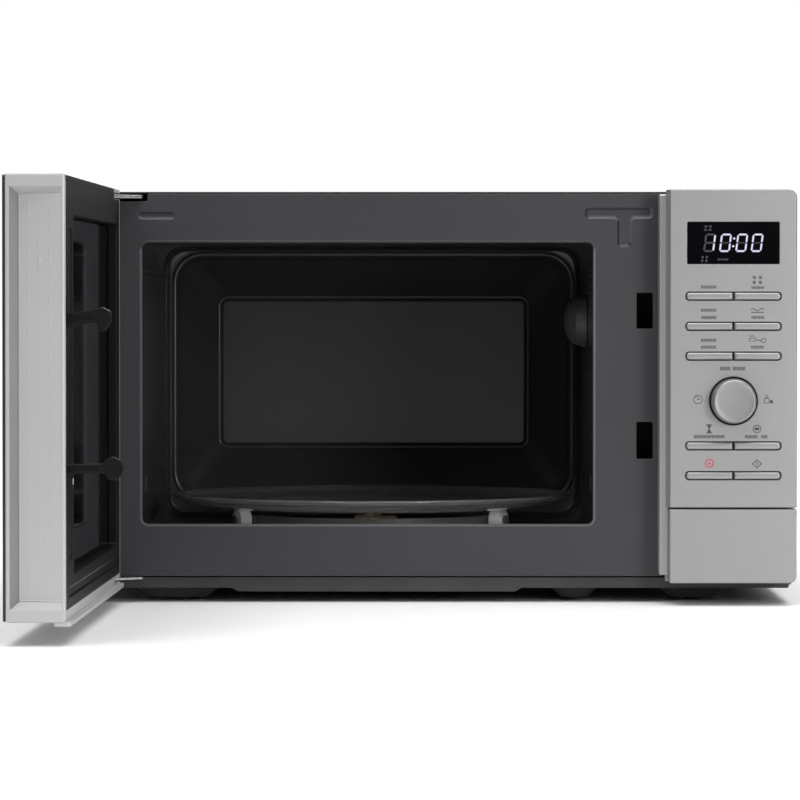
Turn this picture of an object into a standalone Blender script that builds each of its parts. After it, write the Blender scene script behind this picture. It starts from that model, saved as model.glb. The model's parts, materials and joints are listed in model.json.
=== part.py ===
"""A compact countertop microwave oven with its side-hinged door standing open.

Everything is laid out in millimetres in the oven's own frame: x runs from the left side of the
cabinet to the right, y from the face of the front plate to the back, z up from the worktop.
world() turns that into metres about the reference point, the middle of the base.
The door is drawn closed and hangs on an empty at its hinge axis, which turns it open.
"""

import math

import bmesh
import bpy
from mathutils import Matrix, Vector
from mathutils.geometry import tessellate_polygon

MM = 0.001

# ---------------------------------------------------------------- driving dimensions (mm)
CAB_X0, CAB_X1 = 0.3, 487.4  # cabinet cover, outside faces
CAB_TOP = 278.8
CAB_BOTTOM = 12.0
CAB_REAR = 356.4
SHEET = 0.9  # cabinet sheet
PLATE_T = 1.0  # front plate
PLATE_X0, PLATE_X1 = 1.5, 402.0
PLATE_Z0, PLATE_Z1 = 17.7, 277.5
MOUTH = (45.7, 353.1, 52.6, 244.7)  # opening in the front plate: x0, x1, z0, z1
MOUTH_R = 4.5
LINER = (45.0, 353.5, 43.5, 245.0)  # cavity walls: x0, x1, z0, z1
LINER_T = 0.8
LINER_BACK = 318.0
BACK_RIM = (51.0, 348.5, 55.8, 239.7)  # mouth of the drawn recess in the back wall
BACK_RIM_R = 23.0
BACK_PAN = (84.4, 315.4, 95.4, 207.0)  # flat bottom of that recess
BACK_PAN_Y = 345.0
TURN_X, TURN_Y = 200.0, 160.0  # turntable axis
TRAY_R = 142.5
TRAY_Z0, TRAY_Z1 = 58.5, 68.0
ROLLER_R, ROLLER_W, ROLLER_AT = 7.2, 9.0, 104.0
HINGE_X, HINGE_Y = 12.0, -21.0  # door axis
DOOR_OPEN = 91.0  # degrees open at rest
DOOR_X1 = 395.0
DOOR_FRONT, DOOR_BACK = -38.0, -0.5
DOOR_Z0, DOOR_Z1 = 14.0, 280.0
PANEL_X0, PANEL_X1 = 396.5, 488.0
PANEL_FRONT = -38.0
PANEL_Z0, PANEL_Z1 = 14.8, 279.7
FASCIA_Z0 = 65.9
KNOB_X, KNOB_Z, KNOB_R = 445.4, 137.6, 15.2
KEY_ROWS = (207.9, 187.7, 167.7, 107.5, 87.5)
KEY_COLS = ((413.5, 445.0), (445.8, 477.2))
KEY_H = 5.1
FEET = {
    "foot_front_left": (80.0, 45.0),
    "foot_front_right": (421.0, 45.0),
    "foot_rear_left": (80.0, 310.0),
    "foot_rear_right": (421.0, 310.0),
}
GLAND_X, GLAND_Z = 452.0, 46.0
FAN_X, FAN_Z = 425.0, 180.0

# The reference point is the middle of the object's base with the door open, so the extents of
# the open door's free edge are worked out from its two corners.
_a = math.radians(DOOR_OPEN)
X_MIN = HINGE_X + (DOOR_X1 - 0.4 - HINGE_X) * math.cos(_a) + (DOOR_FRONT - HINGE_Y) * math.sin(_a)
Y_MIN = HINGE_Y - (DOOR_X1 - HINGE_X) * math.sin(_a) + (DOOR_BACK - HINGE_Y) * math.cos(_a)
Y_MAX = CAB_REAR + 3.0
XC = (X_MIN + PANEL_X1) / 2
YC = (Y_MIN + Y_MAX) / 2

for old in list(bpy.data.objects):
    bpy.data.objects.remove(old, do_unlink=True)


# ---------------------------------------------------------------- helpers
def world(p):
    return Vector(((p[0] - XC) * MM, (p[1] - YC) * MM, p[2] * MM))


def material(name, colour, rough, metal=0.0, alpha=1.0):
    mat = bpy.data.materials.get(name)
    if mat:
        return mat
    mat = bpy.data.materials.new(name)
    mat.use_nodes = True
    bsdf = mat.node_tree.nodes["Principled BSDF"]
    bsdf.inputs["Base Color"].default_value = (*colour, 1)
    bsdf.inputs["Roughness"].default_value = rough
    bsdf.inputs["Metallic"].default_value = metal
    bsdf.inputs["Alpha"].default_value = alpha
    mat.diffuse_color = (*colour, alpha)
    return mat


def on_axis(axis, u, v, w):
    """A point of a profile (u, v) at height w along the axis."""
    return {"x": (w, u, v), "y": (u, w, v), "z": (u, v, w)}[axis]


def rect(u0, u1, v0, v1, r=0.0, seg=3):
    """A rectangle whose corners, from low-low anticlockwise, are rounded to r."""
    rs = r if isinstance(r, tuple) else (r,) * 4
    corners = ((u0, v0, 180), (u1, v0, 270), (u1, v1, 0), (u0, v1, 90))
    points = []
    for (u, v, start), rad in zip(corners, rs):
        if rad <= 0:
            points.append((u, v))
            continue
        cu = u + (rad if u == u0 else -rad)
        cv = v + (rad if v == v0 else -rad)
        for i in range(seg + 1):
            a = math.radians(start + 90 * i / seg)
            points.append((cu + rad * math.cos(a), cv + rad * math.sin(a)))
    return points


def circle(cu, cv, r, seg=24, start=0.0):
    return [
        (cu + r * math.cos(start + math.tau * i / seg), cv + r * math.sin(start + math.tau * i / seg))
        for i in range(seg)
    ]


def caps(bm, loops, flip=False):
    """Triangles between an outline and the holes in it."""
    flat = [v for loop in loops for v in loop]
    for tri in tessellate_polygon([[v.co for v in loop] for loop in loops]):
        bm.faces.new([flat[i] for i in (reversed(tri) if flip else tri)])


def prism(bm, outline, axis, a, b, holes=()):
    ends = []
    for w in (a, b):
        ends.append([[bm.verts.new(on_axis(axis, u, v, w)) for u, v in loop] for loop in (outline, *holes)])
    for low, high in zip(*ends):
        for i in range(len(low)):
            j = (i + 1) % len(low)
            bm.faces.new((low[i], low[j], high[j], high[i]))
    for loops in ends:
        caps(bm, loops)
    return bm


def box(bm, x0, x1, y0, y1, z0, z1):
    return prism(bm, rect(x0, x1, y0, y1), "z", z0, z1)


def loft(bm, rings, closed=False):
    """A skin over rings of equal count, capped at both ends or closed on itself."""
    made = [[bm.verts.new(p) for p in ring] for ring in rings]
    pairs = list(zip(made, made[1:])) + ([(made[-1], made[0])] if closed else [])
    for one, two in pairs:
        for i in range(len(one)):
            j = (i + 1) % len(one)
            bm.faces.new((one[i], one[j], two[j], two[i]))
    if not closed:
        caps(bm, [made[0]])
        caps(bm, [made[-1]])
    return bm


def lathe(bm, profile, centre, axis="z", seg=32):
    """A profile of (radius, height) turned about an axis through the centre."""
    cu, cv = centre
    rings = []
    for r, h in profile:
        if r < 1e-6:
            rings.append([bm.verts.new(on_axis(axis, cu, cv, h))])
        else:
            rings.append([bm.verts.new(on_axis(axis, u, v, h)) for u, v in circle(cu, cv, r, seg)])
    pairs = list(zip(rings, rings[1:]))
    if profile[0][0] > 1e-6 and profile[-1][0] > 1e-6:
        pairs.append((rings[-1], rings[0]))
    for one, two in pairs:
        if len(one) == len(two) == 1:
            continue
        for i in range(seg):
            j = (i + 1) % seg
            if len(one) == 1:
                bm.faces.new((one[0], two[j], two[i]))
            elif len(two) == 1:
                bm.faces.new((one[i], one[j], two[0]))
            else:
                bm.faces.new((one[i], one[j], two[j], two[i]))
    return bm


def empty(name, at, parent=None, parent_at=None, turn=0.0):
    obj = bpy.data.objects.new(name, None)
    bpy.context.scene.collection.objects.link(obj)
    obj.empty_display_size = 0.02
    if parent:
        obj.parent = parent
        obj.location = (Vector(at) - Vector(parent_at)) * MM
    else:
        obj.location = world(at)
    obj.rotation_euler = (0, 0, math.radians(turn))
    return obj


def piece(name, bm, mat, origin, holder=None, smooth=True):
    """The shape as an object whose origin is the given point of the oven's frame."""
    bmesh.ops.recalc_face_normals(bm, faces=bm.faces)
    shift = Vector(origin)
    for v in bm.verts:
        v.co = (v.co - shift) * MM
    mesh = bpy.data.meshes.new(name)
    bm.to_mesh(mesh)
    bm.free()
    obj = bpy.data.objects.new(name, mesh)
    bpy.context.scene.collection.objects.link(obj)
    if holder:
        obj.parent = holder[0]
        obj.location = (shift - Vector(holder[1])) * MM
    else:
        obj.location = world(origin)
    if mat:
        mesh.materials.append(mat)
    if smooth:
        mesh.shade_smooth()
        mesh.set_sharp_from_angle(angle=math.radians(35))
    obj["origin_mm"] = tuple(origin)
    return obj


def tool(target, bm, operation, holder=None):
    """Cuts the shape out of the target, or adds it, and keeps the helper out of the model."""
    helper = piece(
        f"{target.name}_{operation.lower()}_{len(target.modifiers)}",
        bm,
        target.data.materials[0],
        tuple(target["origin_mm"]),
        holder,
        smooth=False,
    )
    helper.hide_render = True
    helper.display_type = "WIRE"
    mod = target.modifiers.new(operation.title(), "BOOLEAN")
    mod.operation = operation
    mod.object = helper
    mod.solver = "EXACT"
    return target


def cut(target, bm, holder=None):
    return tool(target, bm, "DIFFERENCE", holder)


def add(target, bm, holder=None):
    return tool(target, bm, "UNION", holder)


def new():
    return bmesh.new()


# ---------------------------------------------------------------- materials
ENAMEL = material("charcoal_enamel", (0.055, 0.053, 0.062), 0.42)
CAVITY = material("black_enamel", (0.018, 0.018, 0.018), 0.28)
COVER = material("cabinet_black", (0.03, 0.03, 0.031), 0.5)
STEEL = material("zinc_steel", (0.55, 0.56, 0.56), 0.38, 1.0)
BASE = material("base_grey", (0.045, 0.045, 0.042), 0.6)
RUBBER = material("black_rubber", (0.02, 0.02, 0.02), 0.85)
SILVER = material("silver_plastic", (0.42, 0.42, 0.415), 0.34, 0.6)
BRUSHED = material("brushed_silver", (0.38, 0.38, 0.375), 0.32, 0.9)
KEYS = material("key_silver", (0.56, 0.56, 0.56), 0.3, 0.6)
BLACK = material("black_plastic", (0.016, 0.016, 0.017), 0.38)
GLOSS = material("gloss_black", (0.006, 0.006, 0.008), 0.06)
GLASS = material("clear_glass", (0.72, 0.78, 0.78), 0.04, 0.0, 0.35)
WHITE = material("white_plastic", (0.78, 0.78, 0.76), 0.45)
CREAM = material("cream_plastic", (0.52, 0.40, 0.27), 0.5)
GREY = material("grey_plastic", (0.25, 0.25, 0.25), 0.5)
MICA = material("feed_cover_grey", (0.30, 0.30, 0.30), 0.5)
BOARD = material("circuit_green", (0.03, 0.12, 0.05), 0.5)
COPPER = material("copper_winding", (0.55, 0.22, 0.09), 0.4, 1.0)

# ---------------------------------------------------------------- cabinet
MID = (244.0, 180.0, 0.0)

# Base pan: a pressed tray whose floor steps down in the middle, with turned-up ends.
FLOOR_H = ((1.6, 9.5), (107.0, 9.5), (111.0, 7.0), (300.0, 7.0), (304.0, 9.5), (486.1, 9.5))
pan = new()
bottom = [(x, h) for x, h in FLOOR_H]
prism(
    pan,
    [(1.6, 17.0), *bottom, (486.1, 17.0), (485.0, 17.0), *[(x, h + 1.1) for x, h in reversed(((2.7, 9.5), *FLOOR_H[1:-1], (485.0, 9.5)))], (2.7, 17.0)],
    "y",
    3.5,
    353.5,
)
base_pan = piece("base_pan", pan, BASE, (244.0, 178.0, 7.0), smooth=False)
for y0, y1 in ((3.0, 4.2), (352.8, 354.0)):
    wall = new()
    prism(wall, [(1.7, 16.9), (1.7, 9.6), *[(x, h + 0.1) for x, h in FLOOR_H[1:-1]], (486.0, 9.6), (486.0, 16.9)], "y", y0, y1)
    add(base_pan, wall)
pads = new()
PADS = (
    # x0, x1, y0, y1, lowest z
    (40.0, 99.0, 14.0, 78.0, 2.0),
    (397.0, 446.0, 14.0, 78.0, 2.0),
    (323.0, 358.0, 14.0, 60.0, 2.0),
    (50.0, 110.0, 276.0, 338.0, 2.0),
    (391.0, 451.0, 276.0, 338.0, 2.0),
)
for x0, x1, y0, y1, z in PADS:
    loft(
        pads,
        [
            [(x, y, z) for x, y in rect(x0 + 9, x1 - 9, y0 + 6, y1 - 6, 6, 2)],
            [(x, y, 10.1) for x, y in rect(x0, x1, y0, y1, 9, 2)],
        ],
    )
add(base_pan, pads)
holes = new()
for x, y in FEET.values():
    prism(holes, circle(x, y, 3.2, 12), "z", 0.5, 8.0)
prism(holes, rect(27.0, 51.0, 14.6, 18.0), "y", 2.0, 5.0)
cut(base_pan, holes)

for name, (x, y) in FEET.items():
    foot = new()
    lathe(foot, [(0, 6.0), (2.7, 6.0), (2.7, 1.7), (5.6, 1.7), (5.6, 0.9), (4.9, 0.0), (0, 0.0)], (x, y), "z", 16)
    piece(name, foot, RUBBER, (x, y, 0.0))

# Front plate, with the mouth of the oven, the two latch slots and the notch of the upper hinge.
plate = new()
prism(
    plate,
    [
        (PLATE_X0, PLATE_Z0),
        (PLATE_X1, PLATE_Z0),
        (PLATE_X1, PLATE_Z1),
        (50.0, PLATE_Z1),
        (50.0, 272.4),
        (28.0, 272.4),
        (28.0, PLATE_Z1),
        (6.5, PLATE_Z1),
        (3.1, 276.1),
        (PLATE_X0 + 0.1, 272.8),
    ],
    "y",
    0.0,
    PLATE_T,
    holes=(
        rect(*MOUTH, MOUTH_R, 4)[::-1],
        rect(382.2, 393.1, 185.9, 210.2, 1.0, 2)[::-1],
        rect(382.2, 393.1, 97.5, 122.5, 1.0, 2)[::-1],
    ),
)
piece("front_plate", plate, ENAMEL, (244.0, 0.0, 148.0), smooth=False)


# Oven cavity: a one-piece liner with a flange behind the plate and a deep-drawn back.
def liner_ring(box4, y, r, grow=0.0):
    x0, x1, z0, z1 = box4
    return [(x, y, z) for x, z in rect(x0 - grow, x1 + grow, z0 - grow, z1 + grow, r + max(grow, 0) * 0.5, 4)]


def shell(bm, inner, outer):
    """A cup: the inner rings from mouth to bottom, back along the outer ones, and the rim between."""
    ins = [[bm.verts.new(p) for p in ring] for ring in inner]
    outs = [[bm.verts.new(p) for p in ring] for ring in outer]
    n = len(ins[0])
    for one, two in [*zip(ins, ins[1:]), *zip(outs, outs[1:]), (ins[0], outs[0])]:
        for i in range(n):
            j = (i + 1) % n
            bm.faces.new((one[i], one[j], two[j], two[i]))
    caps(bm, [ins[-1]])
    caps(bm, [outs[-1]])
    return bm


liner = new()
shell(
    liner,
    [
        liner_ring(LINER, 1.3, 6.0),
        liner_ring(LINER, LINER_BACK, 6.0),
        liner_ring(BACK_RIM, LINER_BACK, BACK_RIM_R),
        liner_ring(BACK_RIM, LINER_BACK + 5.0, BACK_RIM_R),
        liner_ring(BACK_PAN, BACK_PAN_Y, 6.0),
    ],
    [
        liner_ring(LINER, 1.3, 6.0, 12.0),
        liner_ring(LINER, 2.3, 6.0, 12.0),
        liner_ring(LINER, 2.3, 6.0, LINER_T),
        liner_ring(LINER, LINER_BACK + LINER_T, 6.0, LINER_T),
        liner_ring(BACK_RIM, LINER_BACK + LINER_T, BACK_RIM_R, LINER_T),
        liner_ring(BACK_RIM, LINER_BACK + 5.6, BACK_RIM_R, LINER_T),
        liner_ring(BACK_PAN, BACK_PAN_Y + LINER_T, 6.0, LINER_T),
    ],
)
oven_cavity = piece("oven_cavity", liner, CAVITY, (200.0, 160.0, 144.0), smooth=False)
openings = new()
prism(openings, circle(TURN_X, TURN_Y, 6.0, 16), "z", 41.0, 45.0)
prism(openings, circle(150.0, 191.0, 15.0, 20), "x", 352.0, 356.0)
cut(oven_cavity, openings)

# Outer cover: one sheet folded over both sides and the top, with vents in the sides.
R_OUT = 6.0


def fold(grow):
    x0, x1, top, r = CAB_X0 - grow, CAB_X1 + grow, CAB_TOP + grow, max(R_OUT + grow, 0.5)
    arc = []
    for cx, start in ((x1 - r, 0), (x0 + r, 90)):
        for i in range(5):
            a = math.radians(start + 90 * i / 4)
            arc.append((cx + r * math.cos(a), top - r + r * math.sin(a)))
    return [(x1, CAB_BOTTOM), *arc, (x0, CAB_BOTTOM)]


cover = new()
prism(cover, [*fold(0.0), *reversed(fold(-SHEET))], "y", 0.4, 355.1)
outer_cover = piece("outer_cover", cover, COVER, (244.0, 178.0, 278.0), smooth=False)
vents = new()
for i in range(9):
    y = 196.0 + 14.0 * i
    prism(vents, rect(y, y + 5.0, 196.0, 226.0, 1.6, 1), "x", -2.0, 3.0)
    prism(vents, rect(y - 150.0, y - 145.0, 40.0, 70.0, 1.6, 1), "x", 485.0, 489.0)
cut(outer_cover, vents)

# Rear panel, with an outlet grille and the hole of the cord's inlet.
rear = new()
grille = []
for row in range(5):
    for col in range(3):
        x0, z0 = 70.0 + col * 34.0, 196.0 + row * 11.0
        grille.append(rect(x0, x0 + 28.0, z0, z0 + 5.0)[::-1])
for row in range(6):
    x0, z0 = 392.0, 150.0 + row * 11.0
    grille.append(rect(x0, x0 + 66.0, z0, z0 + 5.0)[::-1])
prism(
    rear,
    rect(0.6, 487.1, 8.0, 278.5, (0, 0, R_OUT, R_OUT), 4),
    "y",
    355.4,
    CAB_REAR,
    holes=(*grille, circle(GLAND_X, GLAND_Z, 6.4, 16)[::-1]),
)
piece("rear_panel", rear, COVER, (244.0, CAB_REAR, 140.0), smooth=False)
gland = new()
lathe(
    gland,
    [(4.0, 350.0), (6.0, 350.0), (6.0, 356.7), (9.5, 356.7), (9.5, 358.0), (8.0, Y_MAX), (4.0, Y_MAX)],
    (GLAND_X, GLAND_Z),
    "y",
    20,
)
piece("cord_gland", gland, BLACK, (GLAND_X, CAB_REAR, GLAND_Z))

# ---------------------------------------------------------------- cavity fittings
dome = new()
lathe(
    dome,
    [(17.4, 353.2), (19.0, 353.2), (19.0, 351.5), (16.5, 344.0), (11.0, 339.0), (4.0, 337.4), (0.0, 337.2)]
    + [(0.0, 338.8), (4.0, 339.0), (10.2, 340.6), (15.2, 345.0), (17.4, 351.5)],
    (150.0, 191.0),
    "x",
    24,
)
piece("waveguide_cover", dome, MICA, (353.2, 150.0, 191.0))

tray = new()
lathe(
    tray,
    [
        (0.0, TRAY_Z0),
        (116.0, TRAY_Z0),
        (134.0, 61.0),
        (141.0, 65.0),
        (TRAY_R, 67.0),
        (141.5, TRAY_Z1),
        (139.5, 67.2),
        (132.5, 63.6),
        (115.0, 61.7),
        (0.0, 61.7),
    ],
    (TURN_X, TURN_Y),
    "z",
    48,
)
spindle = empty("spindle_axis", (TURN_X, TURN_Y, 47.0))
SPINDLE = (spindle, (TURN_X, TURN_Y, 47.0))
piece("turntable_tray", tray, GLASS, (TURN_X, TURN_Y, TRAY_Z0), SPINDLE)


def lobed(r0, r1, z, n=36):
    """A ring that bulges out to r1 in three places."""
    ring = []
    for i in range(n):
        a = math.tau * i / n
        r = r0 + (r1 - r0) * max(0.0, math.cos(3 * a)) ** 0.6
        ring.append((TURN_X + r * math.cos(a), TURN_Y + r * math.sin(a), z))
    return ring


coupler = new()
loft(
    coupler,
    [
        lobed(3.6, 3.6, 32.0),
        lobed(3.6, 3.6, 46.8),
        lobed(9.0, 18.3, 46.8),
        lobed(9.0, 18.3, 51.4),
        lobed(6.0, 6.0, 51.8),
        lobed(5.4, 5.4, 58.0),
    ],
)
piece("turntable_coupler", coupler, CREAM, (TURN_X, TURN_Y, 47.0), SPINDLE)

ring_pivot = empty("roller_ring_axis", (TURN_X, TURN_Y, 51.0))
RING = (ring_pivot, (TURN_X, TURN_Y, 51.0))
ring = new()
lathe(ring, [(88.0, 48.6), (95.5, 48.6), (95.5, 53.4), (94.0, 53.4), (94.0, 50.0), (89.5, 50.0), (89.5, 53.4), (88.0, 53.4)], (TURN_X, TURN_Y), "z", 36)
roller_ring = piece("roller_ring", ring, CREAM, (TURN_X, TURN_Y, 51.0), RING)
ROLLER_Z = LINER[2] + 0.3 + ROLLER_R
for i, deg in enumerate((90.0, 210.0, 330.0), 1):
    a = math.radians(deg)
    turn = Matrix.Translation((TURN_X, TURN_Y, 0)) @ Matrix.Rotation(a, 4, "Z")
    pin = new()
    lathe(
        pin,
        [(0.0, 94.6), (1.7, 94.6), (1.7, 109.2), (3.2, 109.2), (3.2, 110.8), (0.0, 110.8)],
        (0.0, ROLLER_Z),
        "x",
        12,
    )
    bmesh.ops.transform(pin, matrix=turn, verts=pin.verts)
    add(roller_ring, pin, RING)
    wheel = new()
    half = ROLLER_W / 2
    lathe(
        wheel,
        [
            (1.95, ROLLER_AT - half),
            (ROLLER_R - 0.8, ROLLER_AT - half),
            (ROLLER_R, ROLLER_AT - half + 0.8),
            (ROLLER_R, ROLLER_AT + half - 0.8),
            (ROLLER_R - 0.8, ROLLER_AT + half),
            (1.95, ROLLER_AT + half),
        ],
        (0.0, ROLLER_Z),
        "x",
        18,
    )
    bmesh.ops.transform(wheel, matrix=turn, verts=wheel.verts)
    at = turn @ Vector((ROLLER_AT, 0, ROLLER_Z))
    piece(f"roller_{i}", wheel, WHITE, tuple(at), RING)

motor = new()
lathe(
    motor,
    [(0.0, 20.5), (24.5, 20.5), (24.5, 39.0), (9.0, 39.0), (9.0, 42.0), (4.0, 42.0), (4.0, 31.0), (0.0, 31.0)],
    (TURN_X, TURN_Y),
    "z",
    24,
)
piece("turntable_motor", motor, STEEL, (TURN_X, TURN_Y, 31.0))

# ---------------------------------------------------------------- machine space
guide = new()
box(guide, 354.7, 377.5, 118.0, 208.0, 164.0, 218.0)
waveguide = piece("waveguide", guide, STEEL, (366.0, 163.0, 191.0), smooth=False)
hollow = new()
box(hollow, 350.0, 376.3, 119.2, 206.8, 165.2, 216.8)
cut(waveguide, hollow)
antenna_hole = new()
prism(antenna_hole, circle(182.0, 191.0, 11.0, 16), "x", 375.5, 379.0)
cut(waveguide, antenna_hole)

mag = new()
teeth = []
for i in range(6):  # cooling fins of the anode block
    z = 156.0 + 12.0 * i
    teeth += [(448.0, z), (448.0, z + 4.0), (388.0, z + 4.0), (388.0, z + 12.0)] if i < 5 else [(448.0, z), (448.0, z + 4.0)]
prism(mag, [(378.2, 154.0), (448.0, 154.0), *teeth[1:], (448.0, 222.0), (378.2, 222.0)], "y", 142.0, 206.0)
magnetron = piece("magnetron", mag, STEEL, (378.2, 182.0, 191.0), smooth=False)
antenna = new()
lathe(antenna, [(0.0, 362.0), (5.0, 362.0), (8.0, 366.0), (8.0, 380.0), (0.0, 380.0)], (182.0, 191.0), "x", 16)
add(magnetron, antenna)
core = new()
prism(core, circle(174.0, 188.0, 15.0, 16), "x", 386.0, 430.0)
add(magnetron, core)

inv = new()
box(inv, 362.0, 480.0, 60.0, 200.0, 22.0, 23.6)
inverter = piece("inverter_unit", inv, BOARD, (421.0, 130.0, 22.0), smooth=False)
for b in ((418.0, 462.0, 82.0, 128.0, 23.0, 62.0), (378.0, 398.0, 92.0, 180.0, 23.0, 56.0), (410.0, 470.0, 150.0, 176.0, 23.0, 46.0)):
    add(inverter, box(new(), *b))

housing = new()
prism(housing, rect(372.0, 478.0, 127.0, 233.0, 4, 2), "y", 319.0, 343.0, holes=(circle(FAN_X, FAN_Z, 47.5, 32)[::-1],))
piece("fan_housing", housing, GREY, (FAN_X, 331.0, FAN_Z), smooth=False)
duct = new()
prism(duct, rect(371.0, 479.0, 126.0, 234.0, 4, 2), "y", 218.0, 318.7, holes=(rect(372.6, 477.4, 127.6, 232.4, 3, 2)[::-1],))
piece("air_duct", duct, GREY, (425.0, 268.0, 180.0), smooth=False)
fmotor = new()
lathe(fmotor, [(0.0, 286.0), (19.0, 286.0), (19.0, 312.0), (2.0, 312.0), (2.0, 336.0), (0.0, 336.0)], (FAN_X, FAN_Z), "y", 20)
fan_motor = piece("fan_motor", fmotor, STEEL, (FAN_X, 299.0, FAN_Z))
add(fan_motor, box(new(), 373.2, 476.8, 296.0, 302.0, 175.0, 185.0))
blade = new()
lathe(blade, [(2.3, 321.0), (12.0, 321.0), (12.0, 338.0), (2.3, 338.0)], (FAN_X, FAN_Z), "y", 20)
fan_blade = piece("fan_blade", blade, GREY, (FAN_X, 330.0, FAN_Z))
vanes = new()
for i in range(5):
    spin = (
        Matrix.Translation((FAN_X, 329.5, FAN_Z))
        @ Matrix.Rotation(math.tau * i / 5, 4, "Y")
        @ Matrix.Rotation(math.radians(28), 4, "X")
    )
    vane = new()
    prism(vane, [(10.5, -4.0), (44.5, -13.0), (45.5, 0.0), (44.5, 13.0), (10.5, 4.0)], "y", -0.8, 0.8)
    bmesh.ops.transform(vane, matrix=spin, verts=vane.verts)
    copy = bpy.data.meshes.new("vane")
    vane.to_mesh(copy)
    vane.free()
    vanes.from_mesh(copy)
    bpy.data.meshes.remove(copy)
add(fan_blade, vanes)

lamp = new()
lathe(lamp, [(0.0, 357.0), (7.0, 359.5), (9.5, 366.0), (8.0, 374.0), (7.0, 378.0), (10.0, 378.0), (10.0, 392.0), (0.0, 392.0)], (70.0, 236.0), "x", 16)
piece("oven_lamp", lamp, WHITE, (378.0, 70.0, 236.0))

board = new()
box(board, 377.0, 396.0, 1.4, 48.0, 84.0, 226.0)
latch_board = piece("latch_board", board, GREY, (386.0, 24.0, 155.0), smooth=False)
pockets = new()
box(pockets, 380.5, 395.0, 0.0, 42.0, 184.0, 212.0)
box(pockets, 380.5, 395.0, 0.0, 42.0, 95.0, 125.0)
box(pockets, 375.0, 398.0, 10.0, 50.0, 134.0, 175.0)
cut(latch_board, pockets)
for name, z in (("primary_switch", 198.0), ("monitor_switch", 153.0), ("secondary_switch", 110.0)):
    sw = new()
    x0, y0 = (378.5, 12.0) if name == "monitor_switch" else (366.2, 6.0)
    prism(sw, rect(y0, y0 + 28.0, z - 8.0, z + 8.0, 1.5, 2), "x", x0, x0 + 10.3, holes=(circle(y0 + 6.0, z, 1.6, 10)[::-1], circle(y0 + 22.0, z, 1.6, 10)[::-1]))
    piece(name, sw, BLACK if name == "monitor_switch" else GREY, (x0, y0, z), smooth=False)

LEVER = (406.0, 45.0, 60.0)
lever_pivot = empty("release_lever_axis", LEVER)
lever = new()
prism(lever, [(-9.0, 56.5), (50.0, 56.5), (50.0, 63.5), (14.5, 64.5), (14.5, 98.0), (8.0, 98.0), (8.0, 64.5), (-9.0, 62.5)], "x", 403.5, 409.0)
release_lever = piece("release_lever", lever, WHITE, LEVER, (lever_pivot, LEVER), smooth=False)
add(release_lever, box(new(), 397.2, 404.0, 8.6, 14.0, 93.0, 97.6), (lever_pivot, LEVER))

# ---------------------------------------------------------------- control panel
case = new()
box(case, PANEL_X0, 487.5, -24.0, -0.3, 66.5, 276.5)
panel_base = piece("panel_base", case, SILVER, (442.0, -0.3, 150.0), smooth=False)
add(panel_base, box(new(), PANEL_X0, 401.9, -24.0, -0.35, 20.0, 67.0))
add(panel_base, box(new(), 401.5, 487.4, -14.0, -0.4, 15.2, 67.1))
inside = new()
box(inside, 398.5, 485.5, -22.0, 3.0, 68.5, 274.5)
cut(panel_base, inside)
inside = new()
box(inside, 398.6, 485.4, -12.0, 3.0, 17.0, 69.0)
cut(panel_base, inside)


def fascia_ring(y, x0, grow, z0=FASCIA_Z0, z1=PANEL_Z1, low_r=1.0, top_r=6.0):
    return [
        (x, y, z)
        for x, z in rect(x0 + grow, PANEL_X1 - grow, z0 + grow, z1 - grow, (1.0, low_r, max(top_r - grow, 0.6), 1.0), 3)
    ]


face = new()
shell(
    face,
    [fascia_ring(-24.3, 400.7, 2.2), fascia_ring(-35.8, 402.5, 2.2)],
    [fascia_ring(-24.3, 400.7, 0.0), fascia_ring(-37.2, 402.5, 0.0), fascia_ring(PANEL_FRONT, 402.9, 0.5)],
)
control_fascia = piece("control_fascia", face, BRUSHED, (445.0, PANEL_FRONT, 172.0), smooth=False)
windows = new()
prism(windows, rect(414.2, 476.2, 229.3, 257.8, 0.6, 2), "y", -40.0, -34.0)
prism(windows, circle(KNOB_X, KNOB_Z, 16.2, 32), "y", -40.0, -34.0)
for z in KEY_ROWS:
    prism(windows, rect(KEY_COLS[0][0] - 0.4, KEY_COLS[1][1] + 0.4, z - KEY_H / 2 - 0.4, z + KEY_H / 2 + 0.4, 2.0, 3), "y", -40.0, -34.0)
cut(control_fascia, windows)

win = new()
prism(win, rect(414.5, 475.9, 229.6, 257.5, 0.5, 2), "y", -37.8, -35.9)
piece("display_window", win, GLOSS, (445.0, -37.8, 243.5), smooth=False)
disp = new()
box(disp, 415.0, 475.0, -35.5, -27.4, 230.0, 257.0)
piece("display_module", disp, BLACK, (445.0, -31.0, 243.5), smooth=False)
pcb = new()
prism(pcb, rect(406.0, 483.0, 74.0, 270.0, 2, 2), "y", -27.0, -25.4)
piece("control_board", pcb, BOARD, (444.0, -27.0, 172.0), smooth=False)
enc = new()
box(enc, 438.4, 452.4, -33.5, -27.4, 130.6, 144.6)
encoder = piece("encoder", enc, STEEL, (KNOB_X, -27.4, KNOB_Z), smooth=False)
shaft = new()
prism(shaft, circle(KNOB_X, KNOB_Z, 3.0, 16), "y", -45.0, -33.0)
add(encoder, shaft)

knob = new()
lathe(
    knob,
    [
        (0.0, -51.0),
        (13.2, -51.0),
        (14.4, -50.4),
        (15.0, -49.0),
        (KNOB_R, -39.4),
        (15.8, -39.0),
        (15.8, -36.6),
        (3.3, -36.6),
        (3.3, -46.0),
        (0.0, -46.0),
    ],
    (KNOB_X, KNOB_Z),
    "y",
    40,
)
knob_axis = empty("control_knob_axis", (KNOB_X, -38.0, KNOB_Z))
piece("control_knob", knob, BRUSHED, (KNOB_X, -38.0, KNOB_Z), (knob_axis, (KNOB_X, -38.0, KNOB_Z)))

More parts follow.
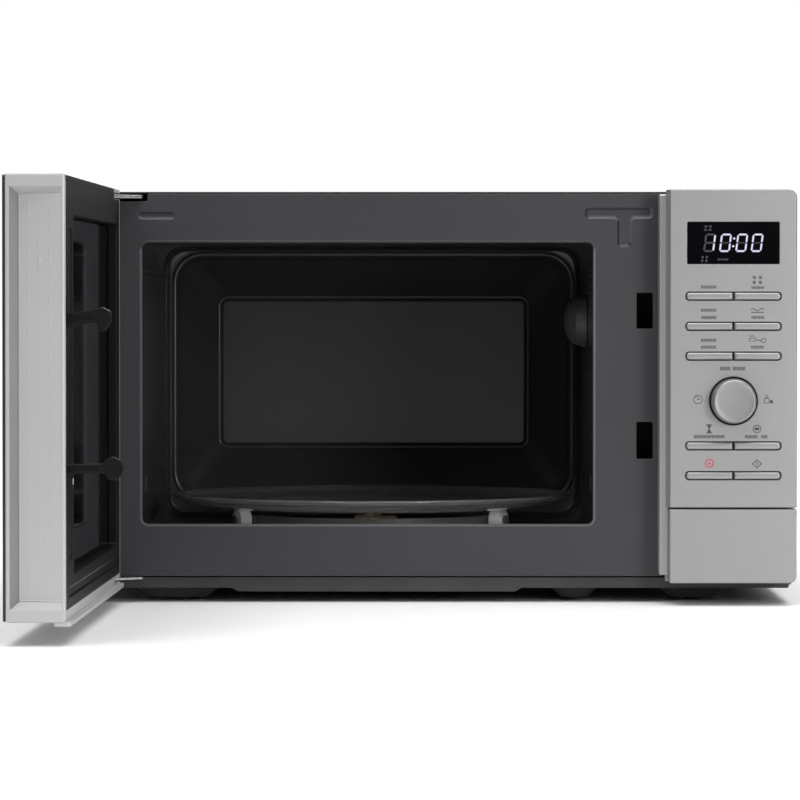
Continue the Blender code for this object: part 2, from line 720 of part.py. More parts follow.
for row, z in enumerate(KEY_ROWS, 1):
    for side, (x0, x1) in zip(("left", "right"), KEY_COLS):
        key = new()
        radii = (2.2, 0.0, 0.0, 2.2) if side == "left" else (0.0, 2.2, 2.2, 0.0)
        outline = rect(x0, x1, z - KEY_H / 2, z + KEY_H / 2, radii, 3)
        cx = (x0 + x1) / 2
        front = [((x - cx) * 0.985 + cx, (zz - z) * 0.90 + z) for x, zz in outline]
        loft(
            key,
            [
                [(x, -30.0, zz) for x, zz in outline],
                [(x, -38.8, zz) for x, zz in outline],
                [(x, -39.2, zz) for x, zz in front],
            ],
        )
        piece(f"key_{row}_{side}", key, KEYS, (cx, -39.2, z), smooth=False)

BUTTON = (445.0, -34.0, 17.0)
button_pivot = empty("release_button_axis", BUTTON)


def button_ring(y, grow, x_in=0.0):
    return [(x, y, z) for x, z in rect(402.4 + grow + x_in, 487.7 - grow, 15.1 + grow, 64.9 - grow, (1.5, 4.5 if grow < 1 else 2.5, 1.0, 1.0), 3)]


push = new()
shell(
    push,
    [button_ring(-20.5, 2.0), button_ring(-35.8, 2.0)],
    [button_ring(-20.5, 0.0), button_ring(-37.3, 0.0), button_ring(PANEL_FRONT, 0.5)],
)
piece("door_release_button", push, BRUSHED, BUTTON, (button_pivot, BUTTON), smooth=False)

# ---------------------------------------------------------------- door, drawn closed
HINGE = (HINGE_X, HINGE_Y, 0.0)
door_pivot = empty("door_hinge_axis", HINGE, turn=-DOOR_OPEN)
DOOR = (door_pivot, HINGE)

frame = new()
prism(frame, [(0.0, -36.4), (DOOR_X1, -36.4), (DOOR_X1, DOOR_BACK), (9.0, DOOR_BACK), (0.0, -12.0)], "z", DOOR_Z0, DOOR_Z1)
door_frame = piece("door_frame", frame, SILVER, HINGE, DOOR, smooth=False)
inside = new()
prism(inside, [(3.0, -33.4), (386.0, -33.4), (391.5, -6.5), (391.5, 0.6), (13.7, 0.6), (3.0, -13.0)], "z", 21.0, 276.8)
cut(door_frame, inside, DOOR)
pane = new()
prism(pane, rect(60.0, 336.0, 62.0, 236.0, 6, 3), "y", -38.0, -32.0)
cut(door_frame, pane, DOOR)
recess = new()
loft(
    recess,
    [
        [(396.0, -34.2, 21.0), (396.0, -2.6, 21.0), (396.0, -2.6, 273.0), (396.0, -34.2, 273.0)],
        [(395.0, -33.8, 21.4), (395.0, -2.6, 21.4), (395.0, -2.6, 272.6), (395.0, -33.8, 272.6)],
        [(389.5, -29.0, 26.4), (394.9, -2.7, 26.4), (394.9, -2.7, 267.6), (389.5, -29.0, 267.6)],
    ],
)
cut(door_frame, recess, DOOR)
lugs = new()
box(lugs, 2.0, 23.0, -34.0, -12.0, 262.0, 272.8)
box(lugs, 2.0, 23.0, -34.0, -12.0, 20.0, 30.0)
box(lugs, 383.0, 392.0, -17.0, -6.6, 225.0, 229.0)
add(door_frame, lugs, DOOR)
add(door_frame, box(new(), 14.0, 393.5, -8.0, 2.4, 11.4, 14.6), DOOR)
slits = new()
box(slits, -2.0, 53.0, -29.5, 2.0, 273.3, 277.2)
box(slits, -2.0, 53.0, -29.5, 2.0, 15.2, 18.4)
cut(door_frame, slits, DOOR)
bores = new()
prism(bores, circle(HINGE_X, HINGE_Y, 3.2, 16), "z", 260.0, 274.0)
prism(bores, circle(HINGE_X, HINGE_Y, 3.2, 16), "z", 17.0, 32.0)
cut(door_frame, bores, DOOR)

skin = new()
prism(skin, rect(0.4, 394.6, 14.4, 279.6, 2.0, 2), "y", DOOR_FRONT, -36.7, holes=(rect(52.0, 344.0, 54.0, 244.0, 8, 3)[::-1],))
piece("door_skin", skin, BRUSHED, HINGE, DOOR, smooth=False)
pane = new()
prism(pane, rect(52.3, 343.7, 54.3, 243.7, 7.7, 3), "y", -37.9, -36.7)
piece("door_glass", pane, GLOSS, HINGE, DOOR, smooth=False)
screen = new()
shell(
    screen,
    [
        [(x, -22.0, z) for x, z in rect(26.0, 380.0, 32.0, 268.0, 4, 2)],
        [(x, -9.6, z) for x, z in rect(26.0, 380.0, 32.0, 268.0, 4, 2)],
    ],
    [
        [(x, -22.0, z) for x, z in rect(25.0, 381.0, 31.0, 269.0, 4, 2)],
        [(x, -8.6, z) for x, z in rect(25.0, 381.0, 31.0, 269.0, 4, 2)],
    ],
)
piece("door_screen_panel", screen, CAVITY, HINGE, DOOR, smooth=False)
film = new()
prism(film, rect(26.0, 346.0, 37.0, 259.5, 3, 2), "y", -8.2, -6.9)
piece("door_inner_window", film, GLOSS, HINGE, DOOR, smooth=False)
choke = new()
prism(
    choke,
    [(14.1, 21.4), (391.2, 21.4), (391.2, 94.0), (382.6, 94.0), (382.6, 118.0), (391.2, 118.0), (391.2, 183.0), (382.6, 183.0), (382.6, 207.0), (391.2, 207.0)]
    + [(391.2, 276.5), (53.0, 276.5), (53.0, 272.8), (14.1, 272.8)],
    "y",
    -6.6,
    DOOR_BACK,
    holes=(rect(30.0, 342.0, 41.0, 255.5, 3, 2)[::-1],),
)
piece("choke_cover", choke, BLACK, HINGE, DOOR, smooth=False)

key_at = (386.5, -11.0, 150.0)
hooks = new()
prism(
    hooks,
    [(-14.0, 95.0), (-9.2, 95.0), (-9.2, 101.5), (22.0, 102.5), (23.5, 99.0), (28.0, 98.0), (32.0, 100.5), (33.5, 105.0), (31.5, 110.0), (27.0, 112.4), (23.0, 111.0), (21.0, 108.0)]
    + [(-9.2, 107.5), (-9.2, 188.5), (18.0, 191.5), (20.0, 186.5), (22.5, 186.5), (26.5, 193.0), (25.5, 198.5), (21.0, 201.0), (14.0, 199.0), (-9.2, 196.0), (-9.2, 205.0), (-14.0, 205.0)],
    "x",
    384.0,
    389.0,
)
piece("latch_hooks", hooks, BLACK, key_at, DOOR, smooth=False)

coil = new()
TURNS, STEPS, COIL_R, WIRE = 5, 10, 2.1, 0.35
rings = []
n = TURNS * STEPS
for i in range(n + 1):
    a = math.tau * i / STEPS
    z = 205.8 + (224.5 - 205.8) * i / n
    c = Vector((386.8 + COIL_R * math.cos(a), -11.6 + COIL_R * math.sin(a), z))
    out = Vector((math.cos(a), math.sin(a), 0))
    rings.append([tuple(c + out * WIRE * math.cos(t) + Vector((0, 0, WIRE * math.sin(t)))) for t in (0.0, math.tau / 4, math.tau / 2, 3 * math.tau / 4)])
loft(coil, rings)
piece("latch_spring", coil, STEEL, (386.8, -11.6, 224.5), DOOR)


# Hinge arms: flat steel arms fixed behind the front plate, each with the pin that the door turns on.
def hinge_arm(name, z0, z1, pin0, pin1):
    arm = new()
    outline = [
        (HINGE_X + 6.5 * math.cos(math.radians(d)), HINGE_Y + 6.5 * math.sin(math.radians(d)))
        for d in range(130, 310, 20)
    ]
    outline += [(47.0, -3.0), (47.0, 16.0), (30.0, 16.0), (30.0, -1.0)]
    prism(arm, outline, "z", z0, z1)
    obj = piece(name, arm, STEEL, (HINGE_X, HINGE_Y, z0), smooth=False)
    pin = new()
    prism(pin, circle(HINGE_X, HINGE_Y, 3.0, 16), "z", pin0, pin1)
    add(obj, pin)


hinge_arm("hinge_upper", 274.3, 276.4, 264.0, 275.0)
hinge_arm("hinge_lower", 15.7, 17.3, 17.0, 28.0)
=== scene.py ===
import json
import math

import bmesh
import bpy
from mathutils import Matrix, Vector
from mathutils.geometry import tessellate_polygon


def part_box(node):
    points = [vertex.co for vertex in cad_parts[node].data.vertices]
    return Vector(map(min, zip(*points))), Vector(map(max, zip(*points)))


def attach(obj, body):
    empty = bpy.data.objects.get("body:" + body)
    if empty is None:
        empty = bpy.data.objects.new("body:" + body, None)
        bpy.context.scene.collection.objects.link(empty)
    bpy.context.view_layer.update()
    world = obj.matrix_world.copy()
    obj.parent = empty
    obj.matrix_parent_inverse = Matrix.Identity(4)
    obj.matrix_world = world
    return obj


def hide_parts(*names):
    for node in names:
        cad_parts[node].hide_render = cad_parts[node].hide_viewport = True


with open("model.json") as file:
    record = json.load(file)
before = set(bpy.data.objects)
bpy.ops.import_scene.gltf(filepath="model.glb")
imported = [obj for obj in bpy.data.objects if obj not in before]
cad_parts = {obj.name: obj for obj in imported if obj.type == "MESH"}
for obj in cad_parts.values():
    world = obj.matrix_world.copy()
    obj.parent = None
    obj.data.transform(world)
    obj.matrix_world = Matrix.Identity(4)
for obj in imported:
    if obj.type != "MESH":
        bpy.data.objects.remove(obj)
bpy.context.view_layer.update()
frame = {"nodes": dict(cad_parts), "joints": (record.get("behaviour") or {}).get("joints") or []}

# Everything below is laid out in millimetres in the oven's own frame: x to the right from the
# cabinet's left side, y to the rear from the front plate, z up. The door is laid out closed.
MM = 0.001
_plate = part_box("front_plate")[0]
XC = 1.5 - _plate.x / MM
YC = 0.0 - _plate.y / MM


def W(p):
    return Vector(((p[0] - XC) * MM, (p[1] - YC) * MM, p[2] * MM))


JOINTS = {j["name"]: j for j in frame["joints"]}
_h = JOINTS["door_hinge"]
HINGE = Vector(_h["pos_m"])
OPEN = math.radians(_h["range_deg"][1])
DOOR = Matrix.Translation(HINGE) @ Matrix.Rotation(-OPEN, 4, "Z") @ Matrix.Translation(-HINGE)


# ---------------------------------------------------------------- shape helpers
def on_axis(axis, u, v, w):
    return {"x": (w, u, v), "y": (u, w, v), "z": (u, v, w)}[axis]


def rect(u0, u1, v0, v1, r=0.0, seg=6):
    rs = r if isinstance(r, tuple) else (r,) * 4
    points = []
    for (u, v, start), rad in zip(((u0, v0, 180), (u1, v0, 270), (u1, v1, 0), (u0, v1, 90)), rs):
        if rad <= 0:
            points.append((u, v))
            continue
        cu = u + (rad if u == u0 else -rad)
        cv = v + (rad if v == v0 else -rad)
        for i in range(seg + 1):
            a = math.radians(start + 90 * i / seg)
            points.append((cu + rad * math.cos(a), cv + rad * math.sin(a)))
    return points


def circle(cu, cv, r, seg=32, start=0.0):
    return [
        (cu + r * math.cos(start + math.tau * i / seg), cv + r * math.sin(start + math.tau * i / seg))
        for i in range(seg)
    ]


def area(points):
    return sum(a[0] * b[1] - b[0] * a[1] for a, b in zip(points, points[1:] + points[:1])) / 2


def ccw(points):
    points = [tuple(p) for p in points]
    return points if area(points) > 0 else points[::-1]


def grow(points, g):
    """The outline moved outwards by g all round."""
    if abs(g) < 1e-9:
        return list(points)
    n = len(points)
    out = []
    for i in range(n):
        a, b, c = Vector(points[i - 1]), Vector(points[i]), Vector(points[(i + 1) % n])
        d1, d2 = (b - a).normalized(), (c - b).normalized()
        n1, n2 = Vector((d1.y, -d1.x)), Vector((d2.y, -d2.x))
        m = n1 + n2
        k = max(0.3, 1 + n1.dot(n2))
        out.append(tuple(b + m * (g / k)))
    return out


def fillet(points, r, seg=4, closed=True):
    """The corners of a polygon or a line rounded to r."""
    n = len(points)
    rs = r if isinstance(r, (list, tuple)) else [r] * n
    out = []
    for i, (p, rad) in enumerate(zip(points, rs)):
        if rad <= 0 or (not closed and i in (0, n - 1)):
            out.append(tuple(p))
            continue
        b = Vector(p)
        d1, d2 = Vector(points[i - 1]) - b, Vector(points[(i + 1) % n]) - b
        l1, l2 = d1.length, d2.length
        d1.normalize()
        d2.normalize()
        ang = math.acos(max(-1.0, min(1.0, d1.dot(d2))))
        if ang > math.pi - 0.02:
            out.append(tuple(p))
            continue
        t = min(rad / math.tan(ang / 2), l1 * 0.49, l2 * 0.49)
        rr = t * math.tan(ang / 2)
        c = b + (d1 + d2).normalized() * (rr / math.sin(ang / 2))
        v1, v2 = b + d1 * t - c, b + d2 * t - c
        a0 = math.atan2(v1.y, v1.x)
        da = (math.atan2(v2.y, v2.x) - a0 + math.pi) % math.tau - math.pi
        out += [(c.x + rr * math.cos(a0 + da * k / seg), c.y + rr * math.sin(a0 + da * k / seg)) for k in range(seg + 1)]
    return out


def verts(bm, axis, outline, w):
    return [bm.verts.new(on_axis(axis, u, v, w)) for u, v in outline]


def caps(bm, loops, mi=0):
    flat = [v for loop in loops for v in loop]
    for tri in tessellate_polygon([[v.co for v in loop] for loop in loops]):
        try:
            bm.faces.new([flat[i] for i in tri]).material_index = mi
        except ValueError:
            pass


def bridge(bm, one, two, mi=0):
    n = len(one)
    for i in range(n):
        j = (i + 1) % n
        bm.faces.new((one[i], one[j], two[j], two[i])).material_index = mi


def slab(bm, axis, outer, a, b, holes=(), pockets=(), r=0.4, rh=0.3, rb=0.2, seg=3, mi=0, side=None, back=None):
    """A plate from its face at a to its back at b, with rounded edges, holes right through and
    pockets (outline, depth, slope) pressed into its face."""
    side = mi if side is None else side
    back = side if back is None else back
    s = 1 if b > a else -1
    outer, holes = ccw(outer), [ccw(h) for h in holes]
    front_loops, back_loops = [], []
    for loop, sign, rad in [(outer, -1, r)] + [(h, 1, rh) for h in holes]:
        rings = []
        if rad > 0:
            for k in range(seg + 1):
                t = math.pi / 2 * k / seg
                rings.append(verts(bm, axis, grow(loop, sign * rad * (1 - math.sin(t))), a + s * rad * (1 - math.cos(t))))
        else:
            rings.append(verts(bm, axis, loop, a))
        if rb > 0:
            for k in range(seg + 1):
                t = math.pi / 2 * k / seg
                rings.append(verts(bm, axis, grow(loop, sign * rb * (1 - math.cos(t))), b - s * rb * (1 - math.sin(t))))
        else:
            rings.append(verts(bm, axis, loop, b))
        for one, two in zip(rings, rings[1:]):
            bridge(bm, one, two, side)
        front_loops.append(rings[0])
        back_loops.append(rings[-1])
    for outline, depth, slope in pockets:
        outline = ccw(outline)
        f = min(0.5, depth * 0.4)
        rings = []
        for k in range(seg + 1):
            t = math.pi / 3 * k / seg
            rings.append(verts(bm, axis, grow(outline, f * (1 - math.sin(t) / math.sin(math.pi / 3))), a + s * f * (1 - math.cos(t))))
        rings.append(verts(bm, axis, grow(outline, -slope), a + s * (depth - f * 0.5)))
        rings.append(verts(bm, axis, grow(outline, -slope - f * 0.4), a + s * (depth - f * 0.12)))
        rings.append(verts(bm, axis, grow(outline, -slope - f), a + s * depth))
        for one, two in zip(rings, rings[1:]):
            bridge(bm, one, two, mi)
        caps(bm, [rings[-1]], mi)
        front_loops.append(rings[0])
        if depth >= abs(b - a):
            under = [verts(bm, axis, grow(outline, 0.8), b), verts(bm, axis, grow(outline, -slope + 0.8), b + s * depth)]
            bridge(bm, under[0], under[1], back)
            caps(bm, [under[1]], back)
            back_loops.append(under[0])
    caps(bm, front_loops, mi)
    caps(bm, back_loops, back)
    return bm


def prism(bm, axis, outline, a, b, mi=0):
    return slab(bm, axis, outline, a, b, r=0, rb=0, mi=mi)


def block(bm, x0, x1, y0, y1, z0, z1, r=0.4, mi=0):
    """A box with its edges rounded on every side."""
    rr = min(r, (x1 - x0) * 0.3, (y1 - y0) * 0.3, (z1 - z0) * 0.3)
    return slab(bm, "z", rect(x0, x1, y0, y1, rr, 3), z0, z1, r=rr * 0.999, rb=rr * 0.999, mi=mi)


def loft(bm, rings, mi=0, closed=False, ends=True):
    made = [[bm.verts.new(p) for p in ring] for ring in rings]
    for one, two in zip(made, made[1:]):
        bridge(bm, one, two, mi)
    if closed:
        bridge(bm, made[-1], made[0], mi)
    elif ends:
        caps(bm, [made[0]], mi)
        caps(bm, [made[-1]], mi)
    return bm


def sweep(bm, axis, outline, profile, mi=0):
    """A closed profile of (outward, height) carried round an outline: beads, lips and gaskets."""
    outline = ccw(outline)
    rings = [verts(bm, axis, grow(outline, g), w) for g, w in profile]
    for one, two in zip(rings, rings[1:] + rings[:1]):
        bridge(bm, one, two, mi)
    return bm


def lathe(bm, profile, centre, axis="z", seg=48, mi=0):
    cu, cv = centre
    rings = []
    for r, h in profile:
        if r < 1e-6:
            rings.append([bm.verts.new(on_axis(axis, cu, cv, h))])
        else:
            rings.append(verts(bm, axis, circle(cu, cv, r, seg), h))
    pairs = list(zip(rings, rings[1:]))
    if profile[0][0] > 1e-6 and profile[-1][0] > 1e-6:
        pairs.append((rings[-1], rings[0]))
    for one, two in pairs:
        if len(one) == len(two) == 1:
            continue
        for i in range(seg):
            j = (i + 1) % seg
            if len(one) == 1:
                f = (one[0], two[j], two[i])
            elif len(two) == 1:
                f = (one[i], one[j], two[0])
            else:
                f = (one[i], one[j], two[j], two[i])
            bm.faces.new(f).material_index = mi
    return bm


def turned(bm, make, matrix):
    """Adds what make() draws on its own mesh, after moving it."""
    extra = bmesh.new()
    make(extra)
    bmesh.ops.transform(extra, matrix=matrix, verts=extra.verts)
    mesh = bpy.data.meshes.new("part")
    extra.to_mesh(mesh)
    extra.free()
    bm.from_mesh(mesh)
    bpy.data.meshes.remove(mesh)
    return bm


def tube(bm, path, r, sides=10, mi=0):
    path = [Vector(p) for p in path]
    up = Vector((0.13, 0.21, 0.97))
    rings = []
    for i, p in enumerate(path):
        d = (path[min(i + 1, len(path) - 1)] - path[max(i - 1, 0)]).normalized()
        u = d.cross(up).normalized()
        v = d.cross(u)
        rings.append([tuple(p + u * r * math.cos(math.tau * k / sides) + v * r * math.sin(math.tau * k / sides)) for k in range(sides)])
    return loft(bm, rings, mi)


def cross_head(bm, axis, cu, cv, w, sign, r=3.6, h=1.5, turn=0.3, mi=0):
    """A pan-head screw with a cross recess; w is the surface it sits on, sign where its head points."""
    arms = []
    a, b = r * 0.52, r * 0.15
    for k in range(4):
        t = turn + math.pi / 2 * k
        for du, dv in ((a, -b), (a, b), (b * 1.25, b * 1.25)):
            arms.append((cu + du * math.cos(t) - dv * math.sin(t), cv + du * math.sin(t) + dv * math.cos(t)))
    head = circle(cu, cv, r, 24, turn)
    top = w + sign * h
    slab(bm, axis, head, top, w, pockets=[(arms, h * 0.7, b * 0.25)], r=h * 0.62, rb=0, seg=4, mi=mi)
    return bm


def finish_mesh(name, bm, mats, body, replaces=(), door=False, sharp=35, bevel=0.0, weld=True, segments=2):
    if weld:
        bmesh.ops.remove_doubles(bm, verts=bm.verts, dist=0.0005)
    bmesh.ops.recalc_face_normals(bm, faces=bm.faces)
    for v in bm.verts:
        co = W(v.co)
        v.co = DOOR @ co if door else co
    mesh = bpy.data.meshes.new(name)
    bm.to_mesh(mesh)
    bm.free()
    obj = bpy.data.objects.new(name, mesh)
    bpy.context.scene.collection.objects.link(obj)
    for m in mats if isinstance(mats, (list, tuple)) else [mats]:
        mesh.materials.append(m)
    mesh.shade_smooth()
    mesh.set_sharp_from_angle(angle=math.radians(sharp))
    if bevel > 0:
        mod = obj.modifiers.new("bevel", "BEVEL")
        mod.width = bevel * MM
        mod.segments = segments
        mod.limit_method = "ANGLE"
        mod.angle_limit = math.radians(40)
        mod.harden_normals = False
    mod = obj.modifiers.new("normals", "WEIGHTED_NORMAL")
    mod.keep_sharp = True
    mod.weight = 80
    obj["made"] = 1
    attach(obj, body)
    if replaces:
        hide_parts(*replaces)
    return obj


def boolean(bm, cutter, operation="DIFFERENCE"):
    """The solid with another cut out of it or joined to it, as a new bmesh."""
    objs = []
    for b in (bm, cutter):
        bmesh.ops.recalc_face_normals(b, faces=b.faces)
        mesh = bpy.data.meshes.new("solid")
        b.to_mesh(mesh)
        b.free()
        o = bpy.data.objects.new("solid", mesh)
        bpy.context.scene.collection.objects.link(o)
        objs.append(o)
    target, helper = objs
    mod = target.modifiers.new("boolean", "BOOLEAN")
    mod.operation = operation
    mod.object = helper
    mod.solver = "EXACT"
    depsgraph = bpy.context.evaluated_depsgraph_get()
    depsgraph.update()
    done = bpy.data.meshes.new_from_object(target.evaluated_get(depsgraph))
    out = bmesh.new()
    out.from_mesh(done)
    bpy.data.meshes.remove(done)
    for o in objs:
        mesh = o.data
        bpy.data.objects.remove(o)
        bpy.data.meshes.remove(mesh)
    return out


def new():
    return bmesh.new()


# ---------------------------------------------------------------- materials
def stuff(
    name,
    colour,
    rough=0.4,
    metal=0.0,
    tone=0.08,
    tone_scale=7.0,
    rough_var=0.05,
    grain=1400.0,
    bump=0.06,
    depth=0.00005,
    stretch=(1, 1, 1),
    spec=0.5,
    coat=0.0,
    coat_rough=0.1,
    aniso=0.0,
    trans=0.0,
    ior=1.5,
    glow=0.0,
    glow_colour=None,
    speck=0.0,
):
    """A surface whose tone drifts softly, with fine grain in its gloss and its relief."""
    m = bpy.data.materials.new(name)
    m.use_nodes = True
    nt = m.node_tree
    bsdf = nt.nodes["Principled BSDF"]
    node, link = nt.nodes.new, nt.links.new
    tc = node("ShaderNodeTexCoord")
    mp = node("ShaderNodeMapping")
    mp.inputs["Scale"].default_value = stretch
    link(tc.outputs["Object"], mp.inputs["Vector"])
    big = node("ShaderNodeTexNoise")
    big.inputs["Scale"].default_value = tone_scale
    big.inputs["Detail"].default_value = 4.0
    link(tc.outputs["Object"], big.inputs["Vector"])
    fine = node("ShaderNodeTexNoise")
    fine.inputs["Scale"].default_value = grain
    fine.inputs["Detail"].default_value = 3.0
    fine.inputs["Roughness"].default_value = 0.6
    link(mp.outputs["Vector"], fine.inputs["Vector"])
    ramp = node("ShaderNodeValToRGB")
    lo = [max(0.0, c * (1 - tone)) for c in colour]
    hi = [min(1.0, c * (1 + tone)) for c in colour]
    ramp.color_ramp.elements[0].position = 0.3
    ramp.color_ramp.elements[0].color = (*lo, 1)
    ramp.color_ramp.elements[1].position = 0.7
    ramp.color_ramp.elements[1].color = (*hi, 1)
    link(big.outputs["Fac"], ramp.inputs["Fac"])
    last = ramp.outputs["Color"]
    if speck > 0:
        dust = node("ShaderNodeValToRGB")
        dust.color_ramp.elements[0].position = 0.40
        dust.color_ramp.elements[0].color = (1 - speck, 1 - speck, 1 - speck, 1)
        dust.color_ramp.elements[1].position = 0.60
        dust.color_ramp.elements[1].color = (1, 1, 1, 1)
        link(fine.outputs["Fac"], dust.inputs["Fac"])
        mix = node("ShaderNodeMix")
        mix.data_type = "RGBA"
        mix.blend_type = "MULTIPLY"
        mix.inputs[0].default_value = 1.0
        link(last, mix.inputs[6])
        link(dust.outputs["Color"], mix.inputs[7])
        last = mix.outputs[2]
    link(last, bsdf.inputs["Base Color"])
    rr = node("ShaderNodeMapRange")
    rr.inputs["From Min"].default_value = 0.3
    rr.inputs["From Max"].default_value = 0.7
    rr.inputs["To Min"].default_value = max(0.0, rough - rough_var)
    rr.inputs["To Max"].default_value = min(1.0, rough + rough_var)
    link(fine.outputs["Fac"], rr.inputs["Value"])
    link(rr.outputs["Result"], bsdf.inputs["Roughness"])
    if bump > 0:
        bp = node("ShaderNodeBump")
        bp.inputs["Strength"].default_value = bump
        bp.inputs["Distance"].default_value = depth
        link(fine.outputs["Fac"], bp.inputs["Height"])
        link(bp.outputs["Normal"], bsdf.inputs["Normal"])
    bsdf.inputs["Metallic"].default_value = metal
    bsdf.inputs["Specular IOR Level"].default_value = spec
    bsdf.inputs["Coat Weight"].default_value = coat
    bsdf.inputs["Coat Roughness"].default_value = coat_rough
    bsdf.inputs["Anisotropic"].default_value = aniso
    bsdf.inputs["Transmission Weight"].default_value = trans
    bsdf.inputs["IOR"].default_value = ior
    if glow > 0:
        bsdf.inputs["Emission Color"].default_value = (*(glow_colour or colour), 1)
        bsdf.inputs["Emission Strength"].default_value = glow
    m.diffuse_color = (*colour, 1)
    return m


ENAMEL = stuff("enamel_charcoal", (0.033, 0.032, 0.038), 0.42, tone=0.10, rough_var=0.05, grain=1500, bump=0.10, speck=0.10)
CAVITY = stuff("enamel_black", (0.046, 0.046, 0.047), 0.22, tone=0.10, rough_var=0.02, grain=260, bump=0.0, depth=0.00002, spec=0.5, speck=0.03)
COVER = stuff("paint_black", (0.030, 0.030, 0.031), 0.46, tone=0.08, rough_var=0.06, grain=1100, bump=0.22, depth=0.00008, speck=0.10)
STEEL = stuff("steel_zinc", (0.60, 0.61, 0.61), 0.30, 1.0, tone=0.10, tone_scale=60, rough_var=0.08, grain=700, bump=0.05, speck=0.08)
BASE = stuff("galvanised_dark", (0.050, 0.050, 0.047), 0.48, 0.35, tone=0.16, tone_scale=40, rough_var=0.08, grain=600, bump=0.10, speck=0.12)
RUBBER = stuff("rubber_black", (0.018, 0.018, 0.018), 0.82, tone=0.15, tone_scale=60, rough_var=0.06, grain=1800, bump=0.3)
SILVER = stuff("plastic_silver", (0.42, 0.42, 0.425), 0.36, 0.55, tone=0.03, rough_var=0.03, grain=2400, bump=0.03, speck=0.04)
DOORSILVER = stuff("plastic_door_silver", (0.50, 0.50, 0.505), 0.38, 0.25, tone=0.03, rough_var=0.03, grain=2400, bump=0.03, speck=0.04)
BRUSHED = stuff("metal_brushed", (0.33, 0.33, 0.328), 0.38, 0.55, tone=0.025, tone_scale=5, rough_var=0.04, grain=320, bump=0.015, stretch=(0.06, 6, 9), speck=0.03)
KNOBM = stuff("metal_knob", (0.325, 0.325, 0.323), 0.32, 0.75, tone=0.03, tone_scale=30, rough_var=0.04, grain=900, bump=0.01, speck=0.03)
KEYM = stuff("metal_key", (0.34, 0.34, 0.34), 0.32, 0.6, tone=0.03, tone_scale=40, rough_var=0.03, grain=1800, bump=0.0, speck=0.02)
BLACK = stuff("plastic_black", (0.012, 0.012, 0.013), 0.34, tone=0.12, tone_scale=30, rough_var=0.05, grain=1600, bump=0.12)
INNER = stuff("plastic_door_inner", (0.006, 0.006, 0.0065), 0.46, tone=0.12, tone_scale=14, rough_var=0.05, grain=1500, bump=0.06, spec=0.12)
HOOK = stuff("plastic_latch", (0.007, 0.007, 0.0075), 0.40, tone=0.12, tone_scale=40, rough_var=0.05, grain=1500, bump=0.05, spec=0.12)
# painted highlight: a lighter copy of the charcoal enamel for edges that catch the light
HIGHLIGHT_ENAMEL = stuff("enamel_painted_highlight", (0.092, 0.090, 0.100), 0.34, tone=0.06, rough_var=0.03, grain=900, bump=0.0, spec=0.5)
# painted shade: two darker copies of the door silver for the walls of the recess in the door's free end
SHADE2 = stuff("plastic_door_slope_painted_shade", (0.40, 0.40, 0.403), 0.42, 0.2, tone=0.04, rough_var=0.03, grain=2400, bump=0.03, speck=0.04)
SHADE = stuff("plastic_door_recess_painted_shade", (0.26, 0.26, 0.262), 0.42, 0.15, tone=0.04, rough_var=0.03, grain=2400, bump=0.03, speck=0.04)
GLOSS = stuff("glass_black", (0.0025, 0.0025, 0.0035), 0.04, tone=0.25, rough_var=0.015, grain=120, bump=0.01, depth=0.00002, spec=0.06)
FILM = stuff("window_film", (0.003, 0.003, 0.0045), 0.05, tone=0.2, rough_var=0.015, grain=160, bump=0.01, depth=0.00002, spec=0.06)
GLASS = stuff("glass_tray", (0.93, 0.955, 0.95), 0.07, tone=0.01, rough_var=0.02, grain=90, bump=0.0, depth=0.00003, trans=0.91, ior=1.52)
WHITE = stuff("plastic_white", (0.90, 0.90, 0.885), 0.34, tone=0.03, tone_scale=80, rough_var=0.05, grain=1500, bump=0.05)
CREAM = stuff("plastic_cream", (0.56, 0.44, 0.30), 0.42, tone=0.08, tone_scale=60, rough_var=0.06, grain=1500, bump=0.08)
RINGM = stuff("plastic_ring_grey", (0.13, 0.12, 0.11), 0.42, tone=0.08, tone_scale=60, rough_var=0.06, grain=1500, bump=0.08)
GREY = stuff("plastic_grey", (0.25, 0.25, 0.25), 0.5, tone=0.06, tone_scale=30, rough_var=0.06, grain=1400, bump=0.08)
MICA = stuff("feed_cover", (0.085, 0.085, 0.092), 0.38, tone=0.12, tone_scale=90, rough_var=0.06, grain=800, bump=0.12)
BOARD = stuff("board_green", (0.03, 0.12, 0.05), 0.45, tone=0.3, tone_scale=160, rough_var=0.08, grain=900, bump=0.1, speck=0.2)
INK = stuff("ink_grey", (0.045, 0.045, 0.047), 0.5, tone=0.1, tone_scale=200, grain=2000, bump=0.03)
RED = stuff("ink_red", (0.50, 0.06, 0.12), 0.5, tone=0.08, tone_scale=200, grain=2000, bump=0.03)
LIT = stuff("digit_lit", (0.10, 0.10, 0.14), 0.4, tone=0.04, tone_scale=300, grain=2000, bump=0.0, glow=0.72, glow_colour=(0.80, 0.79, 1.0))
GHOST = stuff("digit_off", (0.014, 0.012, 0.022), 0.3, tone=0.15, tone_scale=300, grain=2000, bump=0.0)
FAINT = stuff("digit_faint", (0.045, 0.043, 0.052), 0.3, tone=0.15, tone_scale=300, grain=2000, bump=0.0)
# painted shade: near-black for gaps, slot throats and the space behind the fascia
SHADE_BLACK = stuff("painted_shade_black", (0.004, 0.004, 0.004), 0.7, tone=0.2, tone_scale=60, grain=900, bump=0.1)
FLOOR = stuff("floor_white", (0.93, 0.93, 0.93), 0.6, tone=0.005, tone_scale=1.0, rough_var=0.03, grain=60, bump=0.01, spec=0.2)

